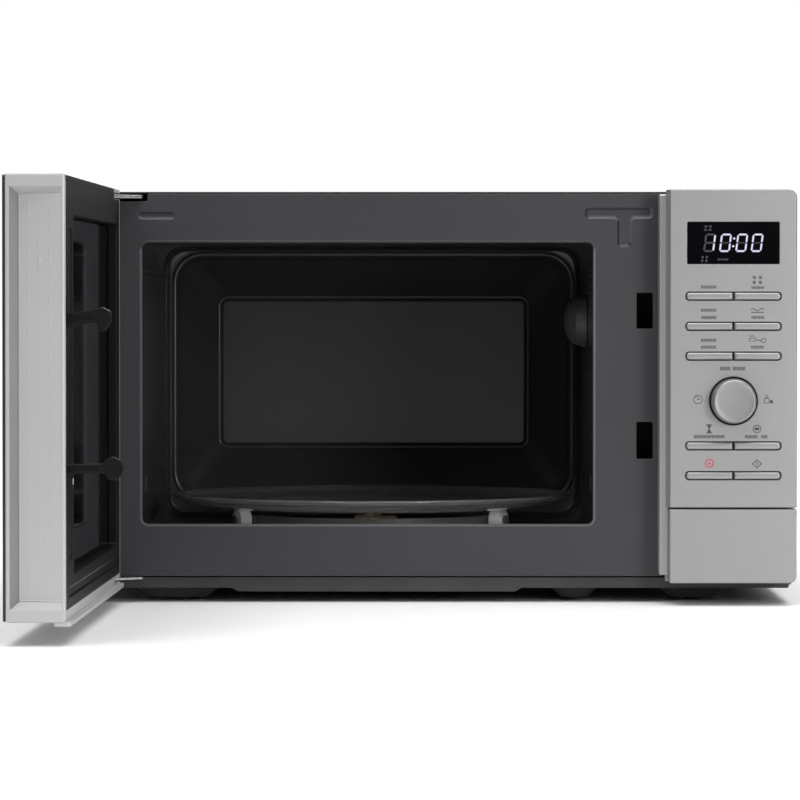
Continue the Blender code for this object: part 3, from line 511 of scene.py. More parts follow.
# ---------------------------------------------------------------- front plate
T_SHAPE = fillet(
    [(347.0, 260.8), (368.9, 260.8), (368.9, 241.3), (378.4, 241.3), (378.4, 260.8), (393.0, 260.8), (393.0, 268.0), (347.0, 268.0)],
    [2.6, 3.0, 3.0, 3.0, 3.0, 2.6, 2.6, 2.6],
    4,
)
MOUTH = rect(45.7, 353.1, 52.6, 244.7, 4.5, 6)
plate = new()
slab(
    plate,
    "y",
    fillet(
        [(1.5, 17.7), (402.0, 17.7), (402.0, 277.5), (50.0, 277.5), (50.0, 272.4), (28.0, 272.4), (28.0, 277.5), (6.5, 277.5), (3.1, 276.1), (1.6, 272.8)],
        [1.0, 1.0, 1.0, 0.6, 0.8, 0.8, 0.6, 2.0, 1.5, 2.0],
        3,
    ),
    0.0,
    1.0,
    holes=[MOUTH, rect(382.2, 393.1, 185.9, 210.2, 1.0, 3), rect(382.2, 393.1, 97.5, 122.5, 1.0, 3)],
    pockets=[(T_SHAPE, 2.1, 1.5), (rect(43.6, 68.7, 260.4, 265.1, 2.2, 5), 1.8, 1.1)],
    r=0.45,
    rh=0.35,
    rb=0.1,
)
# painted highlight: the walls of the pressed T and slot marks high on the plate that face up or to the left get the
# lighter enamel
plate.normal_update()
for f in plate.faces:
    c = f.calc_center_median()
    if 0.02 < c.y < 2.2 and c.z > 215.0 and (c.x < 75.0 or c.x > 354.0) and (f.normal.z > 0.25 or f.normal.x < -0.25) and f.normal.y < 0.05 and abs(c.z - 280.0) > 4.0 and 40.0 < c.x < 394.0 and c.z > 247.0:
        f.material_index = 1
# painted highlight: the mouth lip is lighter enamel on its left, right and bottom sides, and its top keeps the plain
# enamel
lip = new()
sweep(lip, "y", rect(45.9, 352.9, 52.8, 244.5, 4.3, 6), [(1.5, 0.05), (1.0, -0.2), (0.4, -0.3), (-0.1, -0.15), (-0.35, 0.35), (-0.35, 2.4), (0.1, 2.4), (0.3, 0.9)])
lip.normal_update()
for f in lip.faces:
    if f.calc_center_median().z > 240.5:
        f.material_index = 1
finish_mesh("vis_mouth_lip", lip, [HIGHLIGHT_ENAMEL, ENAMEL], "cabinet")
finish_mesh("vis_front_plate", plate, [ENAMEL, HIGHLIGHT_ENAMEL], "cabinet", ["front_plate"])

slots = new()
for z0, z1 in ((185.9, 210.2), (97.5, 122.5)):
    # painted shade: a near-black ring in the throat of each latch slot
    sweep(slots, "y", rect(382.2, 393.1, z0, z1, 1.0, 3), [(0.0, 0.9), (0.0, 1.35), (0.9, 1.35), (0.9, 0.9)])
finish_mesh("vis_slot_painted_shade", slots, SHADE_BLACK, "cabinet")

# ---------------------------------------------------------------- cavity
LIN = (45.0, 353.5, 43.5, 245.0)
RIM = (51.0, 348.5, 55.8, 239.7)
PAN = (84.4, 315.4, 95.4, 207.0)


def ring4(b, y, r, g=0.0, seg=8):
    return [(x, y, z) for x, z in rect(b[0] - g, b[1] + g, b[2] - g, b[3] + g, max(0.5, r + g), seg)]


cavity = new()
inner = [ring4(LIN, 1.3, 6.0)]
inner += [ring4(LIN, y, r) for y, r in ((40.0, 6.0), (110.0, 7.0), (180.0, 8.5), (250.0, 10.5), (304.0, 13.0))]
inner += [ring4(LIN, 309.5, 14.0, -0.35), ring4(LIN, 313.6, 15.0, -1.1), ring4(LIN, 316.2, 16.5, -2.1), ring4(LIN, 317.2, 17.5, -3.0)]
inner += [ring4(RIM, 317.3, 21.0, 2.0), ring4(RIM, 316.5, 21.0, 1.1), ring4(RIM, 316.2, 21.0, 0.0), ring4(RIM, 316.4, 21.0, -1.1), ring4(RIM, 317.2, 21.0, -2.3), ring4(RIM, 318.8, 21.0, -3.3), ring4(RIM, 321.2, 21.0, -4.3), ring4(RIM, 323.4, 20.5, -6.2), ring4(RIM, 324.8, 20.0, -8.4)]
inner += [ring4(PAN, 341.6, 7.0, 4.8), ring4(PAN, 343.6, 6.5, 2.4), ring4(PAN, 344.5, 6.0, 1.2), ring4(PAN, 344.7, 6.0, 0.3), ring4(PAN, 344.3, 6.0, -0.7), ring4(PAN, 343.3, 6.0, -1.7), ring4(PAN, 342.9, 6.0, -2.8)]
outer = [ring4(LIN, 1.3, 6.0, 12.0), ring4(LIN, 2.3, 6.0, 12.0), ring4(LIN, 2.3, 6.0, 0.8), ring4(LIN, 318.8, 6.0, 0.8), ring4(RIM, 318.9, 22.0, 2.6), ring4(RIM, 323.6, 22.0, 0.9), ring4(PAN, 345.8, 6.0, 1.6), ring4(PAN, 345.8, 6.0, 0.0)]
ins = [[cavity.verts.new(p) for p in ring] for ring in inner]
outs = [[cavity.verts.new(p) for p in ring] for ring in outer]
for one, two in [*zip(ins, ins[1:]), *zip(outs, outs[1:]), (ins[0], outs[0])]:
    bridge(cavity, one, two)
caps(cavity, [ins[-1]])
caps(cavity, [outs[-1]])
cutters = new()
prism(cutters, "z", circle(200.0, 160.0, 6.0, 32), 41.0, 45.0)
prism(cutters, "x", rect(16.0, 124.0, 176.0, 228.0), 352.0, 356.0)
cavity = boolean(cavity, cutters)
finish_mesh("vis_oven_cavity", cavity, CAVITY, "cabinet", ["oven_cavity"], sharp=38)

# beads pressed into the side walls, and the perforated screen in front of the lamp
beads = new()
half = [(1.6, 0.0), (1.1, 0.75), (0.0, 1.15), (-1.1, 0.75), (-1.6, 0.0), (-1.0, -0.5), (1.0, -0.5)]
sweep(beads, "x", rect(62.0, 262.0, 71.5, 82.5, 5.4, 8), [(g, 45.0 + h) for g, h in half])
sweep(beads, "x", rect(24.0, 300.0, 221.6, 226.4, 2.3, 6), [(g * 0.7, 45.0 + h * 0.8) for g, h in half])
sweep(beads, "x", rect(62.0, 262.0, 71.5, 82.5, 5.4, 8), [(g, 353.5 - h) for g, h in half])
sweep(beads, "z", circle(200.0, 160.0, 122.0, 96), [(g * 1.2, 43.5 + h * 0.7) for g, h in half])
sweep(beads, "z", circle(200.0, 160.0, 12.0, 48), [(g, 43.5 + h) for g, h in half])
finish_mesh("vis_cavity_beads", beads, CAVITY, "cabinet", sharp=60)

screen = new()
P, HR = 4.0, 1.25
cols, rows = 27, 13


def cell(bm, cy, cz, w0, w1):
    h = P / 2
    sq = [(cy + h, cz), (cy + h, cz + h), (cy, cz + h), (cy - h, cz + h), (cy - h, cz), (cy - h, cz - h), (cy, cz - h), (cy + h, cz - h)]
    ho = circle(cy, cz, HR, 8)
    a, b = verts(bm, "x", sq, w0), verts(bm, "x", ho, w0)
    c, d = verts(bm, "x", sq, w1), verts(bm, "x", ho, w1)
    bridge(bm, a, b)
    bridge(bm, b, d)
    bridge(bm, d, c)


for i in range(cols):
    for j in range(rows):
        cell(screen, 16.0 + P * (i + 0.5), 176.0 + P * (j + 0.5), 353.5, 354.3)
finish_mesh("vis_lamp_screen", screen, CAVITY, "cabinet", sharp=30)

# ---------------------------------------------------------------- cavity fittings
dome = new()
lathe(
    dome,
    fillet([(17.4, 353.2), (19.0, 353.2), (19.0, 350.6), (17.2, 345.0), (12.8, 340.2), (6.0, 337.6), (0.0, 337.2)], [0, 0.4, 3, 5, 6, 6, 0], 4, closed=False)
    + [(0.0, 338.8), (4.0, 339.0), (10.2, 340.6), (15.2, 345.0), (17.4, 351.5)],
    (150.0, 191.0),
    "x",
    64,
)
finish_mesh("vis_waveguide_cover", dome, MICA, "cabinet", ["waveguide_cover"])

tray = new()
lathe(
    tray,
    [(0.0, 58.5)]
    + [(r + dr, 58.5 + dz) for r in (30.0, 52.0, 74.0, 96.0) for dr, dz in ((-1.6, 0.0), (-0.8, -0.0), (0.0, 0.25), (0.8, 0.0), (1.6, 0.0))]
    + fillet([(112.0, 58.5), (118.0, 58.6), (133.0, 61.0), (140.6, 64.8), (142.5, 66.8), (141.6, 68.0), (139.6, 67.2), (132.5, 63.6), (115.0, 61.7), (100.0, 61.7)], [0, 8, 12, 8, 0.9, 0.9, 0.9, 12, 10, 0], 4, closed=False)
    + [(0.0, 61.7)],
    (200.0, 160.0),
    "z",
    128,
)
for k in range(3):
    a = math.radians(60 + 120 * k)
    turned(tray, lambda b: block(b, 12.5, 17.5, -3.2, 3.2, 53.6, 58.9, 1.2), Matrix.Translation((200.0, 160.0, 0)) @ Matrix.Rotation(a, 4, "Z"))
finish_mesh("vis_turntable_tray", tray, GLASS, "tray", ["turntable_tray"], sharp=60, weld=False)


def lobed(r0, r1, z, n=108):
    ring = []
    for i in range(n):
        a = math.tau * i / n
        r = r0 + (r1 - r0) * max(0.0, math.cos(3 * a)) ** 0.6
        ring.append((200.0 + r * math.cos(a), 160.0 + r * math.sin(a), z))
    return ring


hub = new()
loft(
    hub,
    [lobed(3.6, 3.6, 32.0), lobed(3.6, 3.6, 46.8), lobed(8.6, 17.8, 46.8), lobed(9.0, 18.3, 47.2), lobed(9.0, 18.3, 50.6), lobed(8.7, 17.9, 51.2), lobed(8.1, 17.1, 51.4)]
    + [lobed(6.4, 6.6, 51.5), lobed(6.0, 6.0, 52.0), lobed(5.6, 5.6, 56.8), lobed(5.2, 5.2, 57.6), lobed(4.4, 4.4, 58.0)],
)
finish_mesh("vis_turntable_coupler", hub, CREAM, "spindle", ["turntable_coupler"])

ROLLER_Z = 43.5 + 0.3 + 7.2
ringm = new()
lathe(ringm, fillet([(88.0, 48.6), (95.5, 48.6), (95.5, 53.4), (93.9, 53.4), (93.9, 50.1), (89.6, 50.1), (89.6, 53.4), (88.0, 53.4)], 0.4, 2), (200.0, 160.0), "z", 120)
for i, deg in enumerate((90.0, 210.0, 330.0), 1):
    at = Matrix.Translation((200.0, 160.0, 0)) @ Matrix.Rotation(math.radians(deg), 4, "Z")

    def fork(b):
        lathe(b, fillet([(0.0, 94.2), (1.7, 94.2), (1.7, 109.2), (3.2, 109.4), (3.2, 110.8), (0.0, 110.8)], [0, 0.3, 0, 0.3, 0.5, 0], 2, closed=False), (0.0, ROLLER_Z), "x", 24)
        for s in (-1, 1):
            block(b, 93.0, 97.6, s * 4.2 - 1.4, s * 4.2 + 1.4, 48.8, 53.2, 0.5)
        block(b, 93.2, 97.8, -5.4, 5.4, 48.8, 53.2, 0.6)

    def wheel(b):
        lo, hi = 104.0 - 4.5, 104.0 + 4.5
        lathe(
            b,
            fillet(
                [(1.95, lo), (3.4, lo), (3.6, lo + 0.9), (5.4, lo + 0.9), (5.6, lo), (7.2, lo), (7.2, hi), (5.6, hi), (5.4, hi - 0.9), (3.6, hi - 0.9), (3.4, hi), (1.95, hi)],
                [0, 0.2, 0.3, 0.3, 0.2, 0.8, 0.8, 0.2, 0.3, 0.3, 0.2, 0],
                3,
            ),
            (0.0, ROLLER_Z),
            "x",
            40,
        )

    turned(ringm, fork, at)
    wh = new()
    turned(wh, wheel, at)
    finish_mesh(f"vis_roller_{i}", wh, WHITE, f"roller_{i}", [f"roller_{i}"])
finish_mesh("vis_roller_ring", ringm, RINGM, "roller_ring", ["roller_ring"])

# ---------------------------------------------------------------- cabinet cover, rear, base
X0, X1, TOP, BOT = 0.3, 487.4, 278.8, 12.0


def fold(g):
    x0, x1, top, r = X0 - g, X1 + g, TOP + g, max(6.0 + g, 0.5)
    arc = []
    for cx, start in ((x1 - r, 0), (x0 + r, 90)):
        for i in range(9):
            a = math.radians(start + 90 * i / 8)
            arc.append((cx + r * math.cos(a), top - r + r * math.sin(a)))
    return [(x1, BOT), *arc, (x0, BOT)]


cover = new()
rows_y = [0.4, 0.75, 1.4, 348.4, 349.0, 350.6, 351.2, 354.8, 355.1]
grows = [-0.25, -0.06, 0.0, 0.0, -0.45, -0.45, 0.0, 0.0, -0.2]
outs = [[cover.verts.new((x, y, z)) for x, z in fold(g)] for y, g in zip(rows_y, grows)]
ins = [[cover.verts.new((x, y, z)) for x, z in fold(g)] for y, g in ((0.4, -0.9), (349.0, -0.9), (349.4, -1.3), (350.4, -1.3), (351.0, -0.9), (355.1, -0.9))]


def strip(bm, one, two):
    for i in range(len(one) - 1):
        bm.faces.new((one[i], one[i + 1], two[i + 1], two[i]))


for a, b in [*zip(outs, outs[1:]), *zip(ins, ins[1:]), (outs[0], ins[0]), (outs[-1], ins[-1])]:
    strip(cover, a, b)
for e in (0, -1):
    loop = [r[e] for r in outs] + [r[e] for r in reversed(ins)]
    caps(cover, [loop])
vents = new()
for i in range(9):
    y = 196.0 + 14.0 * i
    prism(vents, "x", rect(y, y + 5.0, 196.0, 226.0, 2.4, 5), -3.0, 4.0)
    prism(vents, "x", rect(y - 150.0, y - 145.0, 40.0, 70.0, 2.4, 5), 484.0, 491.0)
cover = boolean(cover, vents)
# pressed lips round the vents and the screws of the cover
for i in range(9):
    y = 196.0 + 14.0 * i
    lip = [(0.0, 0.0), (0.35, 0.22), (0.85, 0.28), (1.35, 0.16), (1.6, -0.1), (1.4, -0.4), (0.0, -0.4)]
    sweep(cover, "x", rect(y, y + 5.0, 196.0, 226.0, 2.4, 5), [(g, X0 - h * 0.9) for g, h in lip])
    sweep(cover, "x", rect(y - 150.0, y - 145.0, 40.0, 70.0, 2.4, 5), [(g, X1 + h * 0.9) for g, h in lip])
finish_mesh("vis_outer_cover", cover, COVER, "cabinet", ["outer_cover"], sharp=40)

rear = new()
holes = []
for row in range(5):
    for col in range(3):
        x0, z0 = 70.0 + col * 34.0, 196.0 + row * 11.0
        holes.append(rect(x0, x0 + 28.0, z0, z0 + 5.0, 2.3, 4))
for row in range(6):
    holes.append(rect(392.0, 458.0, 150.0 + row * 11.0, 155.0 + row * 11.0, 2.3, 4))
holes.append(circle(452.0, 46.0, 6.4, 32))
slab(
    rear,
    "y",
    rect(0.6, 487.1, 8.0, 278.5, (1.0, 1.0, 6.0, 6.0), 6),
    356.4,
    355.4,
    holes=holes,
    pockets=[(rect(20.0, 360.0, 24.0, 60.0, 4.0, 4), 0.55, 0.6), (rect(200.0, 366.0, 80.0, 244.0, 5.0, 4), 0.55, 0.6), (rect(30.0, 186.0, 74.0, 180.0, 5.0, 4), 0.55, 0.6)],
    r=0.35,
    rh=0.3,
    rb=0.1,
)
finish_mesh("vis_rear_panel", rear, COVER, "cabinet", ["rear_panel"])

screws = new()
for x, z in ((12.0, 266.0), (166.0, 270.5), (320.0, 270.5), (476.0, 266.0), (12.0, 140.0), (476.0, 140.0), (12.0, 22.0), (476.0, 22.0), (244.0, 16.0)):
    cross_head(screws, "y", x, z, 356.3, 1, turn=0.2 + x * 0.013)
for y in (60.0, 250.0):
    cross_head(screws, "x", y, 22.0, 0.4, -1, r=3.2, h=0.7, turn=y)
    cross_head(screws, "x", y, 22.0, 487.3, 1, r=3.2, h=0.55, turn=y + 1)
finish_mesh("vis_case_screws", screws, STEEL, "cabinet")

gland = new()
lathe(
    gland,
    fillet([(4.0, 350.0), (6.0, 350.0), (6.0, 356.7), (9.5, 356.7), (9.5, 357.8), (8.6, 358.4), (7.6, 359.4), (4.0, 359.4)], [0.2, 0.3, 0.2, 0.4, 0.5, 0.3, 0.5, 0.6], 3),
    (452.0, 46.0),
    "y",
    48,
)
finish_mesh("vis_cord_gland", gland, BLACK, "cabinet", ["cord_gland"])

FLOOR_H = [(1.6, 9.5), (107.0, 9.5), (111.0, 7.0), (300.0, 7.0), (304.0, 9.5), (486.1, 9.5)]
pan = new()
profile = [(1.6, 17.0), *FLOOR_H, (486.1, 17.0), (485.0, 17.0), *[(x, h + 1.1) for x, h in reversed([(2.7, 9.5), *FLOOR_H[1:-1], (485.0, 9.5)])], (2.7, 17.0)]
slab(pan, "y", fillet(profile, [0.2, 1.5, 3, 3, 3, 3, 1.5, 0.2, 0.2, 0.5, 3, 3, 3, 3, 0.5, 0.2], 3), 3.5, 353.5, r=0, rb=0)
for y0, y1 in ((3.0, 4.2), (352.8, 354.0)):
    slab(pan, "y", fillet([(1.7, 16.9), (1.7, 9.6), (107.0, 9.6), (111.0, 7.1), (300.0, 7.1), (304.0, 9.6), (486.0, 9.6), (486.0, 16.9)], [0.5, 1.5, 3, 3, 3, 3, 1.5, 0.5], 3), y0, y1, r=0.3, rb=0.3)
for x0, x1, y0, y1, z in ((40.0, 99.0, 14.0, 78.0, 2.0), (397.0, 446.0, 14.0, 78.0, 2.0), (323.0, 358.0, 14.0, 60.0, 2.0), (50.0, 110.0, 276.0, 338.0, 2.0), (391.0, 451.0, 276.0, 338.0, 2.0)):
    steps = ((9.6, 6.6, 2.0), (9.0, 6.0, 2.05), (8.2, 5.4, 2.6), (1.6, 1.4, 8.4), (0.6, 0.6, 9.4), (-0.6, -0.6, 10.1))
    loft(pan, [[(x, y, h) for x, y in rect(x0 + gx, x1 - gx, y0 + gy, y1 - gy, 8.0, 6)] for gx, gy, h in steps])
for y in range(8):
    for x in range(2):
        # stiffening ribs pressed under the floor
        u = 130.0 + 84.0 * x
        sweep(pan, "z", rect(u, u + 62.0, 96.0 + 22.0 * y, 104.0 + 22.0 * y, 3.8, 5), [(0.8, 7.05), (0.4, 6.7), (-0.4, 6.7), (-0.8, 7.05), (0.0, 7.4)])
finish_mesh("vis_base_pan", pan, BASE, "cabinet", ["base_pan"], sharp=40)
for name, (x, y) in {"foot_front_left": (80.0, 45.0), "foot_front_right": (421.0, 45.0), "foot_rear_left": (80.0, 310.0), "foot_rear_right": (421.0, 310.0)}.items():
    foot = new()
    lathe(foot, fillet([(0, 6.0), (2.7, 6.0), (2.7, 1.7), (5.6, 1.7), (5.6, 0.9), (4.9, 0.0), (3.0, 0.0), (2.6, 0.25), (0, 0.25)], [0, 0.3, 0.2, 0.3, 0.3, 0.3, 0.2, 0.2, 0], 2, closed=False), (x, y), "z", 40)
    finish_mesh("vis_" + name, foot, RUBBER, "cabinet", [name])

# ---------------------------------------------------------------- control panel
KEY_ROWS = (207.9, 187.7, 167.7, 107.5, 87.5)
KEY_COLS = ((413.5, 445.0), (445.8, 477.2))
KEY_H = 5.1
KX, KZ = 445.4, 137.6
body = new()
slab(body, "x", rect(-24.0, -0.3, 20.0, 276.5, 1.2, 4), 396.5, 402.2, r=0.7, rb=0.2)
upper = new()
slab(upper, "y", rect(401.0, 487.5, 66.5, 276.5, (0.4, 0.8, 5.0, 0.4), 5), -24.0, -0.3, r=0.3, rb=0.2)
lower = new()
slab(lower, "y", rect(401.0, 487.4, 15.2, 67.1, (0.4, 4.2, 0.4, 0.4), 5), -14.0, -0.4, r=0.5, rb=0.2)
# room for the release lever inside both halves of the housing
lever_room = new()
prism(lever_room, "x", rect(-12.4, 3.0, 60.0, 76.0), 402.6, 410.6)
upper = boolean(upper, lever_room)
lever_room = new()
prism(lever_room, "x", rect(-12.4, 3.0, 40.0, 72.0), 402.6, 410.6)
lower = boolean(lower, lever_room)
finish_mesh("vis_panel_case_upper", upper, SILVER, "cabinet")
finish_mesh("vis_panel_case_lower", lower, SILVER, "cabinet")
finish_mesh("vis_panel_base", body, SILVER, "cabinet", ["panel_base"])


def panel_ring(y, x0, z0, z1, g, radii, seg=6):
    return [(x, y, z) for x, z in rect(x0 + g, 488.0 - g, z0 + g, z1 - g, tuple(max(0.4, r - g) for r in radii), seg)]


def panel_shell(y_back, x_back, x_front, z0, z1, radii, wall, holes, edge=1.5, y_front=-38.0, mi=0):
    """A hollow moulding open at the back, with a crowned edge and holes in its face."""
    bm = new()
    rings = [panel_ring(y_back, x_back, z0, z1, 0.0, radii)]
    n = 6
    for k in range(n + 1):
        t = math.pi / 2 * k / n
        x0 = x_back + (x_front - x_back) * min(1.0, (y_back - (y_front + edge)) / (y_back - y_front))
        rings.append(panel_ring(y_front + edge * (1 - math.sin(t)), x0, z0, z1, edge * (1 - math.cos(t)) * 0.75, radii))
    inner_rings = [panel_ring(y_back, x_back, z0, z1, wall, radii), panel_ring(y_front + wall, x_front, z0, z1, wall, radii)]
    outs = [[bm.verts.new(p) for p in ring] for ring in rings]
    ins = [[bm.verts.new(p) for p in ring] for ring in inner_rings]
    for a, b in [*zip(outs, outs[1:]), *zip(ins, ins[1:]), (outs[0], ins[0])]:
        bridge(bm, a, b, mi)
    fronts, backs = [outs[-1]], [ins[-1]]
    for hole, rad in holes:
        hole = ccw(hole)
        ring = [verts(bm, "y", grow(hole, rad * (1 - math.sin(math.pi / 2 * k / 3))), y_front + rad * (1 - math.cos(math.pi / 2 * k / 3))) for k in range(4)]
        ring.append(verts(bm, "y", hole, y_front + wall))
        for a, b in zip(ring, ring[1:]):
            bridge(bm, a, b, mi)
        fronts.append(ring[0])
        backs.append(ring[-1])
    caps(bm, fronts, mi)
    caps(bm, backs, mi)
    return bm


holes = [(rect(414.2, 476.2, 229.3, 257.8, 0.9, 3), 0.25), (circle(KX, KZ, 16.3, 72), 0.45)]
for z in KEY_ROWS:
    holes.append((rect(KEY_COLS[0][0] - 0.45, KEY_COLS[1][1] + 0.45, z - KEY_H / 2 - 0.45, z + KEY_H / 2 + 0.45, 2.5, 5), 0.3))
face = panel_shell(-24.3, 400.7, 402.7, 65.9, 279.7, (0.8, 0.8, 6.0, 0.8), 2.2, holes)
finish_mesh("vis_control_fascia", face, BRUSHED, "cabinet", ["control_fascia"])

# painted shade: near-black sheets behind the keys and the knob, and a near-black ring round the display window
mask = new()
slab(mask, "y", rect(411.0, 480.0, 80.0, 115.0, 2, 3), -34.2, -33.4)
slab(mask, "y", rect(411.0, 480.0, 160.0, 214.0, 2, 3), -34.2, -33.4)
slab(mask, "y", rect(411.0, 480.0, 117.0, 158.0, 2, 3), -34.2, -33.4, holes=[circle(KX, KZ, 12.0, 32)])
sweep(mask, "y", rect(414.6, 475.8, 229.7, 257.4, 0.6, 3), [(0.3, -37.55), (0.3, -35.0), (-0.3, -35.0), (-0.3, -36.0)])
finish_mesh("vis_panel_painted_shade_mask", mask, SHADE_BLACK, "cabinet")

window = new()
slab(window, "y", rect(414.55, 475.85, 229.65, 257.45, 0.7, 3), -37.8, -35.9, r=0.3, rb=0.1)
finish_mesh("vis_display_window", window, GLOSS, "cabinet", ["display_window"])

# a seven-segment clock behind the window's face, slanted, with its unlit segments just showing
lit, ghost, faint = new(), new(), new()
MIDZ, DH = 243.65, 12.3


def segment(bm, points, y=-37.84):
    prism(bm, "y", [(x + (z - MIDZ) * 0.13, z) for x, z in points], y, -37.78)


def bar(x0, z0, x1, z1, w):
    """A segment with pointed ends from one point to another."""
    d = Vector((x1 - x0, z1 - z0))
    u = d.normalized()
    n = Vector((-u.y, u.x)) * w / 2
    k = w / 2
    a, b = Vector((x0, z0)), Vector((x1, z1))
    return [tuple(a), tuple(a + u * k - n), tuple(b - u * k - n), tuple(b), tuple(b - u * k + n), tuple(a + u * k + n)]


def digit(cx, which, w=7.3, t=1.2, off=None):
    x0, x1 = cx - w / 2 + t / 2, cx + w / 2 - t / 2
    z0, z1 = MIDZ - DH / 2 + t / 2, MIDZ + DH / 2 - t / 2
    g = 0.22
    lines = {
        "a": (x0 + g, z1, x1 - g, z1),
        "b": (x1, MIDZ + g, x1, z1 - g),
        "c": (x1, z0 + g, x1, MIDZ - g),
        "d": (x0 + g, z0, x1 - g, z0),
        "e": (x0, z0 + g, x0, MIDZ - g),
        "f": (x0, MIDZ + g, x0, z1 - g),
        "g": (x0 + g, MIDZ, x1 - g, MIDZ),
    }
    for k, line in lines.items():
        segment(lit if k in which else (off or ghost), bar(*line, t))


digit(429.3, "bc", off=faint)
for cx in (439.9, 450.8, 461.1):
    digit(cx, "abcdef")
for dz in (-2.3, 2.9):
    segment(lit, [(445.35 + 0.75 * math.cos(a), MIDZ + dz + 0.75 * math.sin(a)) for a in [math.tau * k / 12 for k in range(12)]])
for k in range(4):  # small indicators round the clock
    x, z = 424.4 + (k % 2) * 3.0, 251.7 + (k // 2) * 2.3
    segment(faint, [(x, z), (x + 1.9, z), (x + 1.9, z + 1.3), (x, z + 1.3)])
for k in range(4):
    x, z = 425.2 + (k % 2) * 2.8, 230.8 + (k // 2) * 2.4
    segment(faint, [(x, z), (x + 1.4, z), (x + 1.4, z + 1.6), (x, z + 1.6)])
for k in range(4):
    x, z = 436.2 + k * 1.9, 231.9
    segment(faint, [(x, z), (x + 1.3, z), (x + 1.3, z + 1.3), (x, z + 1.3)])
finish_mesh("vis_clock_lit", lit, LIT, "cabinet", sharp=30)
finish_mesh("vis_clock_off", ghost, GHOST, "cabinet", sharp=30)
finish_mesh("vis_clock_marks", faint, FAINT, "cabinet", sharp=30)

# ---------------------------------------------------------------- printed marks: generic pictograms and plain rules
ink, red = new(), new()
Y0, Y1 = -38.045, -37.97


def dab(points, bm=None):
    prism(ink if bm is None else bm, "y", points, Y0, Y1)


def loop_mark(outline, w, bm=None):
    sweep(ink if bm is None else bm, "y", outline, [(w / 2, Y0), (w / 2, Y1), (-w / 2, Y1), (-w / 2, Y0)])


def rule(x0, x1, z0, z1, words):
    """A line of print kept abstract: a row of plain ticks, grouped."""
    total = sum(words) + 0.8 * (len(words) - 1)
    k = (x1 - x0) / total
    x = x0
    for wd in words:
        end = x + wd * k
        while x + 0.56 <= end + 0.02:
            dab(rect(x, x + 0.56, z0 + 0.1, z1 - 0.1, 0.12, 2))
            x += 0.86
        x = end + 0.8 * k


def wave(x0, x1, z, amp, w, n=24, cycles=2.0):
    top, low = [], []
    for i in range(n + 1):
        t = i / n
        x = x0 + (x1 - x0) * t
        zz = z + amp * math.sin(math.tau * cycles * t)
        top.append((x, zz + w / 2))
        low.append((x, zz - w / 2))
    dab(low + top[::-1])


rule(423.6, 434.4, 212.9, 215.2, (1.0,))
rule(423.6, 434.2, 197.3, 199.6, (1.0,))
rule(423.8, 434.2, 192.4, 194.8, (1.0,))
rule(423.6, 434.4, 177.2, 179.6, (1.0,))
rule(423.6, 434.4, 172.6, 174.9, (1.0,))
for i in range(2):  # snowflakes: defrost
    for j in range(2):
        cx, cz = 459.2 + 4.1 * i, 217.1 + 3.4 * j
        for k in range(3):
            t = math.pi * k / 3 + 0.2
            dab(bar(cx - 1.5 * math.cos(t), cz - 1.5 * math.sin(t), cx + 1.5 * math.cos(t), cz + 1.5 * math.sin(t), 0.5))
rule(457.4, 465.8, 212.6, 214.7, (1.0,))
wave(457.0, 465.6, 198.9, 0.7, 0.6, cycles=1.5)  # steam over a dish
dab(bar(457.0, 197.1, 465.8, 197.1, 0.6))
rule(457.4, 465.8, 192.6, 194.8, (1.0,))
wave(455.4, 459.6, 181.2, 0.5, 0.5, cycles=2)
loop_mark(rect(455.8, 460.4, 177.8, 179.6, 0.5, 3), 0.45)
dab(bar(460.6, 178.7, 464.6, 177.9, 0.6))
loop_mark(circle(465.6, 178.2, 1.5, 20), 0.5)
rule(457.2, 465.8, 172.6, 174.9, (1.0,))
rule(436.4, 453.8, 158.0, 160.7, (3.0, 4.0))
loop_mark(circle(421.6, 138.6, 2.9, 32), 0.5)  # clock
dab(bar(421.6, 138.3, 421.6, 140.7, 0.5))
dab(bar(421.3, 138.6, 423.2, 138.6, 0.5))
dab(bar(419.8, 140.3, 420.6, 140.9, 0.4))
loop_mark(rect(466.0, 469.4, 136.2, 139.4, 0.7, 3), 0.5)  # weight on a scale
loop_mark(circle(467.7, 140.6, 0.9, 16), 0.45)
dab(rect(469.9, 471.9, 136.0, 138.2, 0.4, 2))
# sand glass and a round dial over the fourth row
dab([(427.6, 121.4), (430.6, 121.4), (429.4, 118.9), (430.6, 116.4), (427.6, 116.4), (428.8, 118.9)])
dab(bar(427.0, 121.7, 431.2, 121.7, 0.5))
dab(bar(427.0, 116.1, 431.2, 116.1, 0.5))
rule(418.9, 439.7, 112.5, 114.9, (1.0,))
loop_mark(circle(461.2, 118.9, 2.5, 28), 0.55)
dab(rect(459.7, 462.7, 118.0, 119.8, 0.3, 2))
rule(453.2, 468.6, 112.4, 114.9, (4.0, 2.0))
loop_mark(circle(429.3, 95.7, 2.65, 32), 0.9, red)  # stop
dab(rect(428.5, 430.1, 94.9, 96.5, 0.2, 2), red)
loop_mark([(461.2, 92.7), (464.2, 95.4), (461.2, 98.1), (458.2, 95.4)], 0.6)  # start
dab(bar(461.2, 93.9, 461.2, 96.9, 0.6))
finish_mesh("vis_panel_print", ink, INK, "cabinet", sharp=30, weld=False)
finish_mesh("vis_panel_print_stop", red, RED, "cabinet", sharp=30, weld=False)

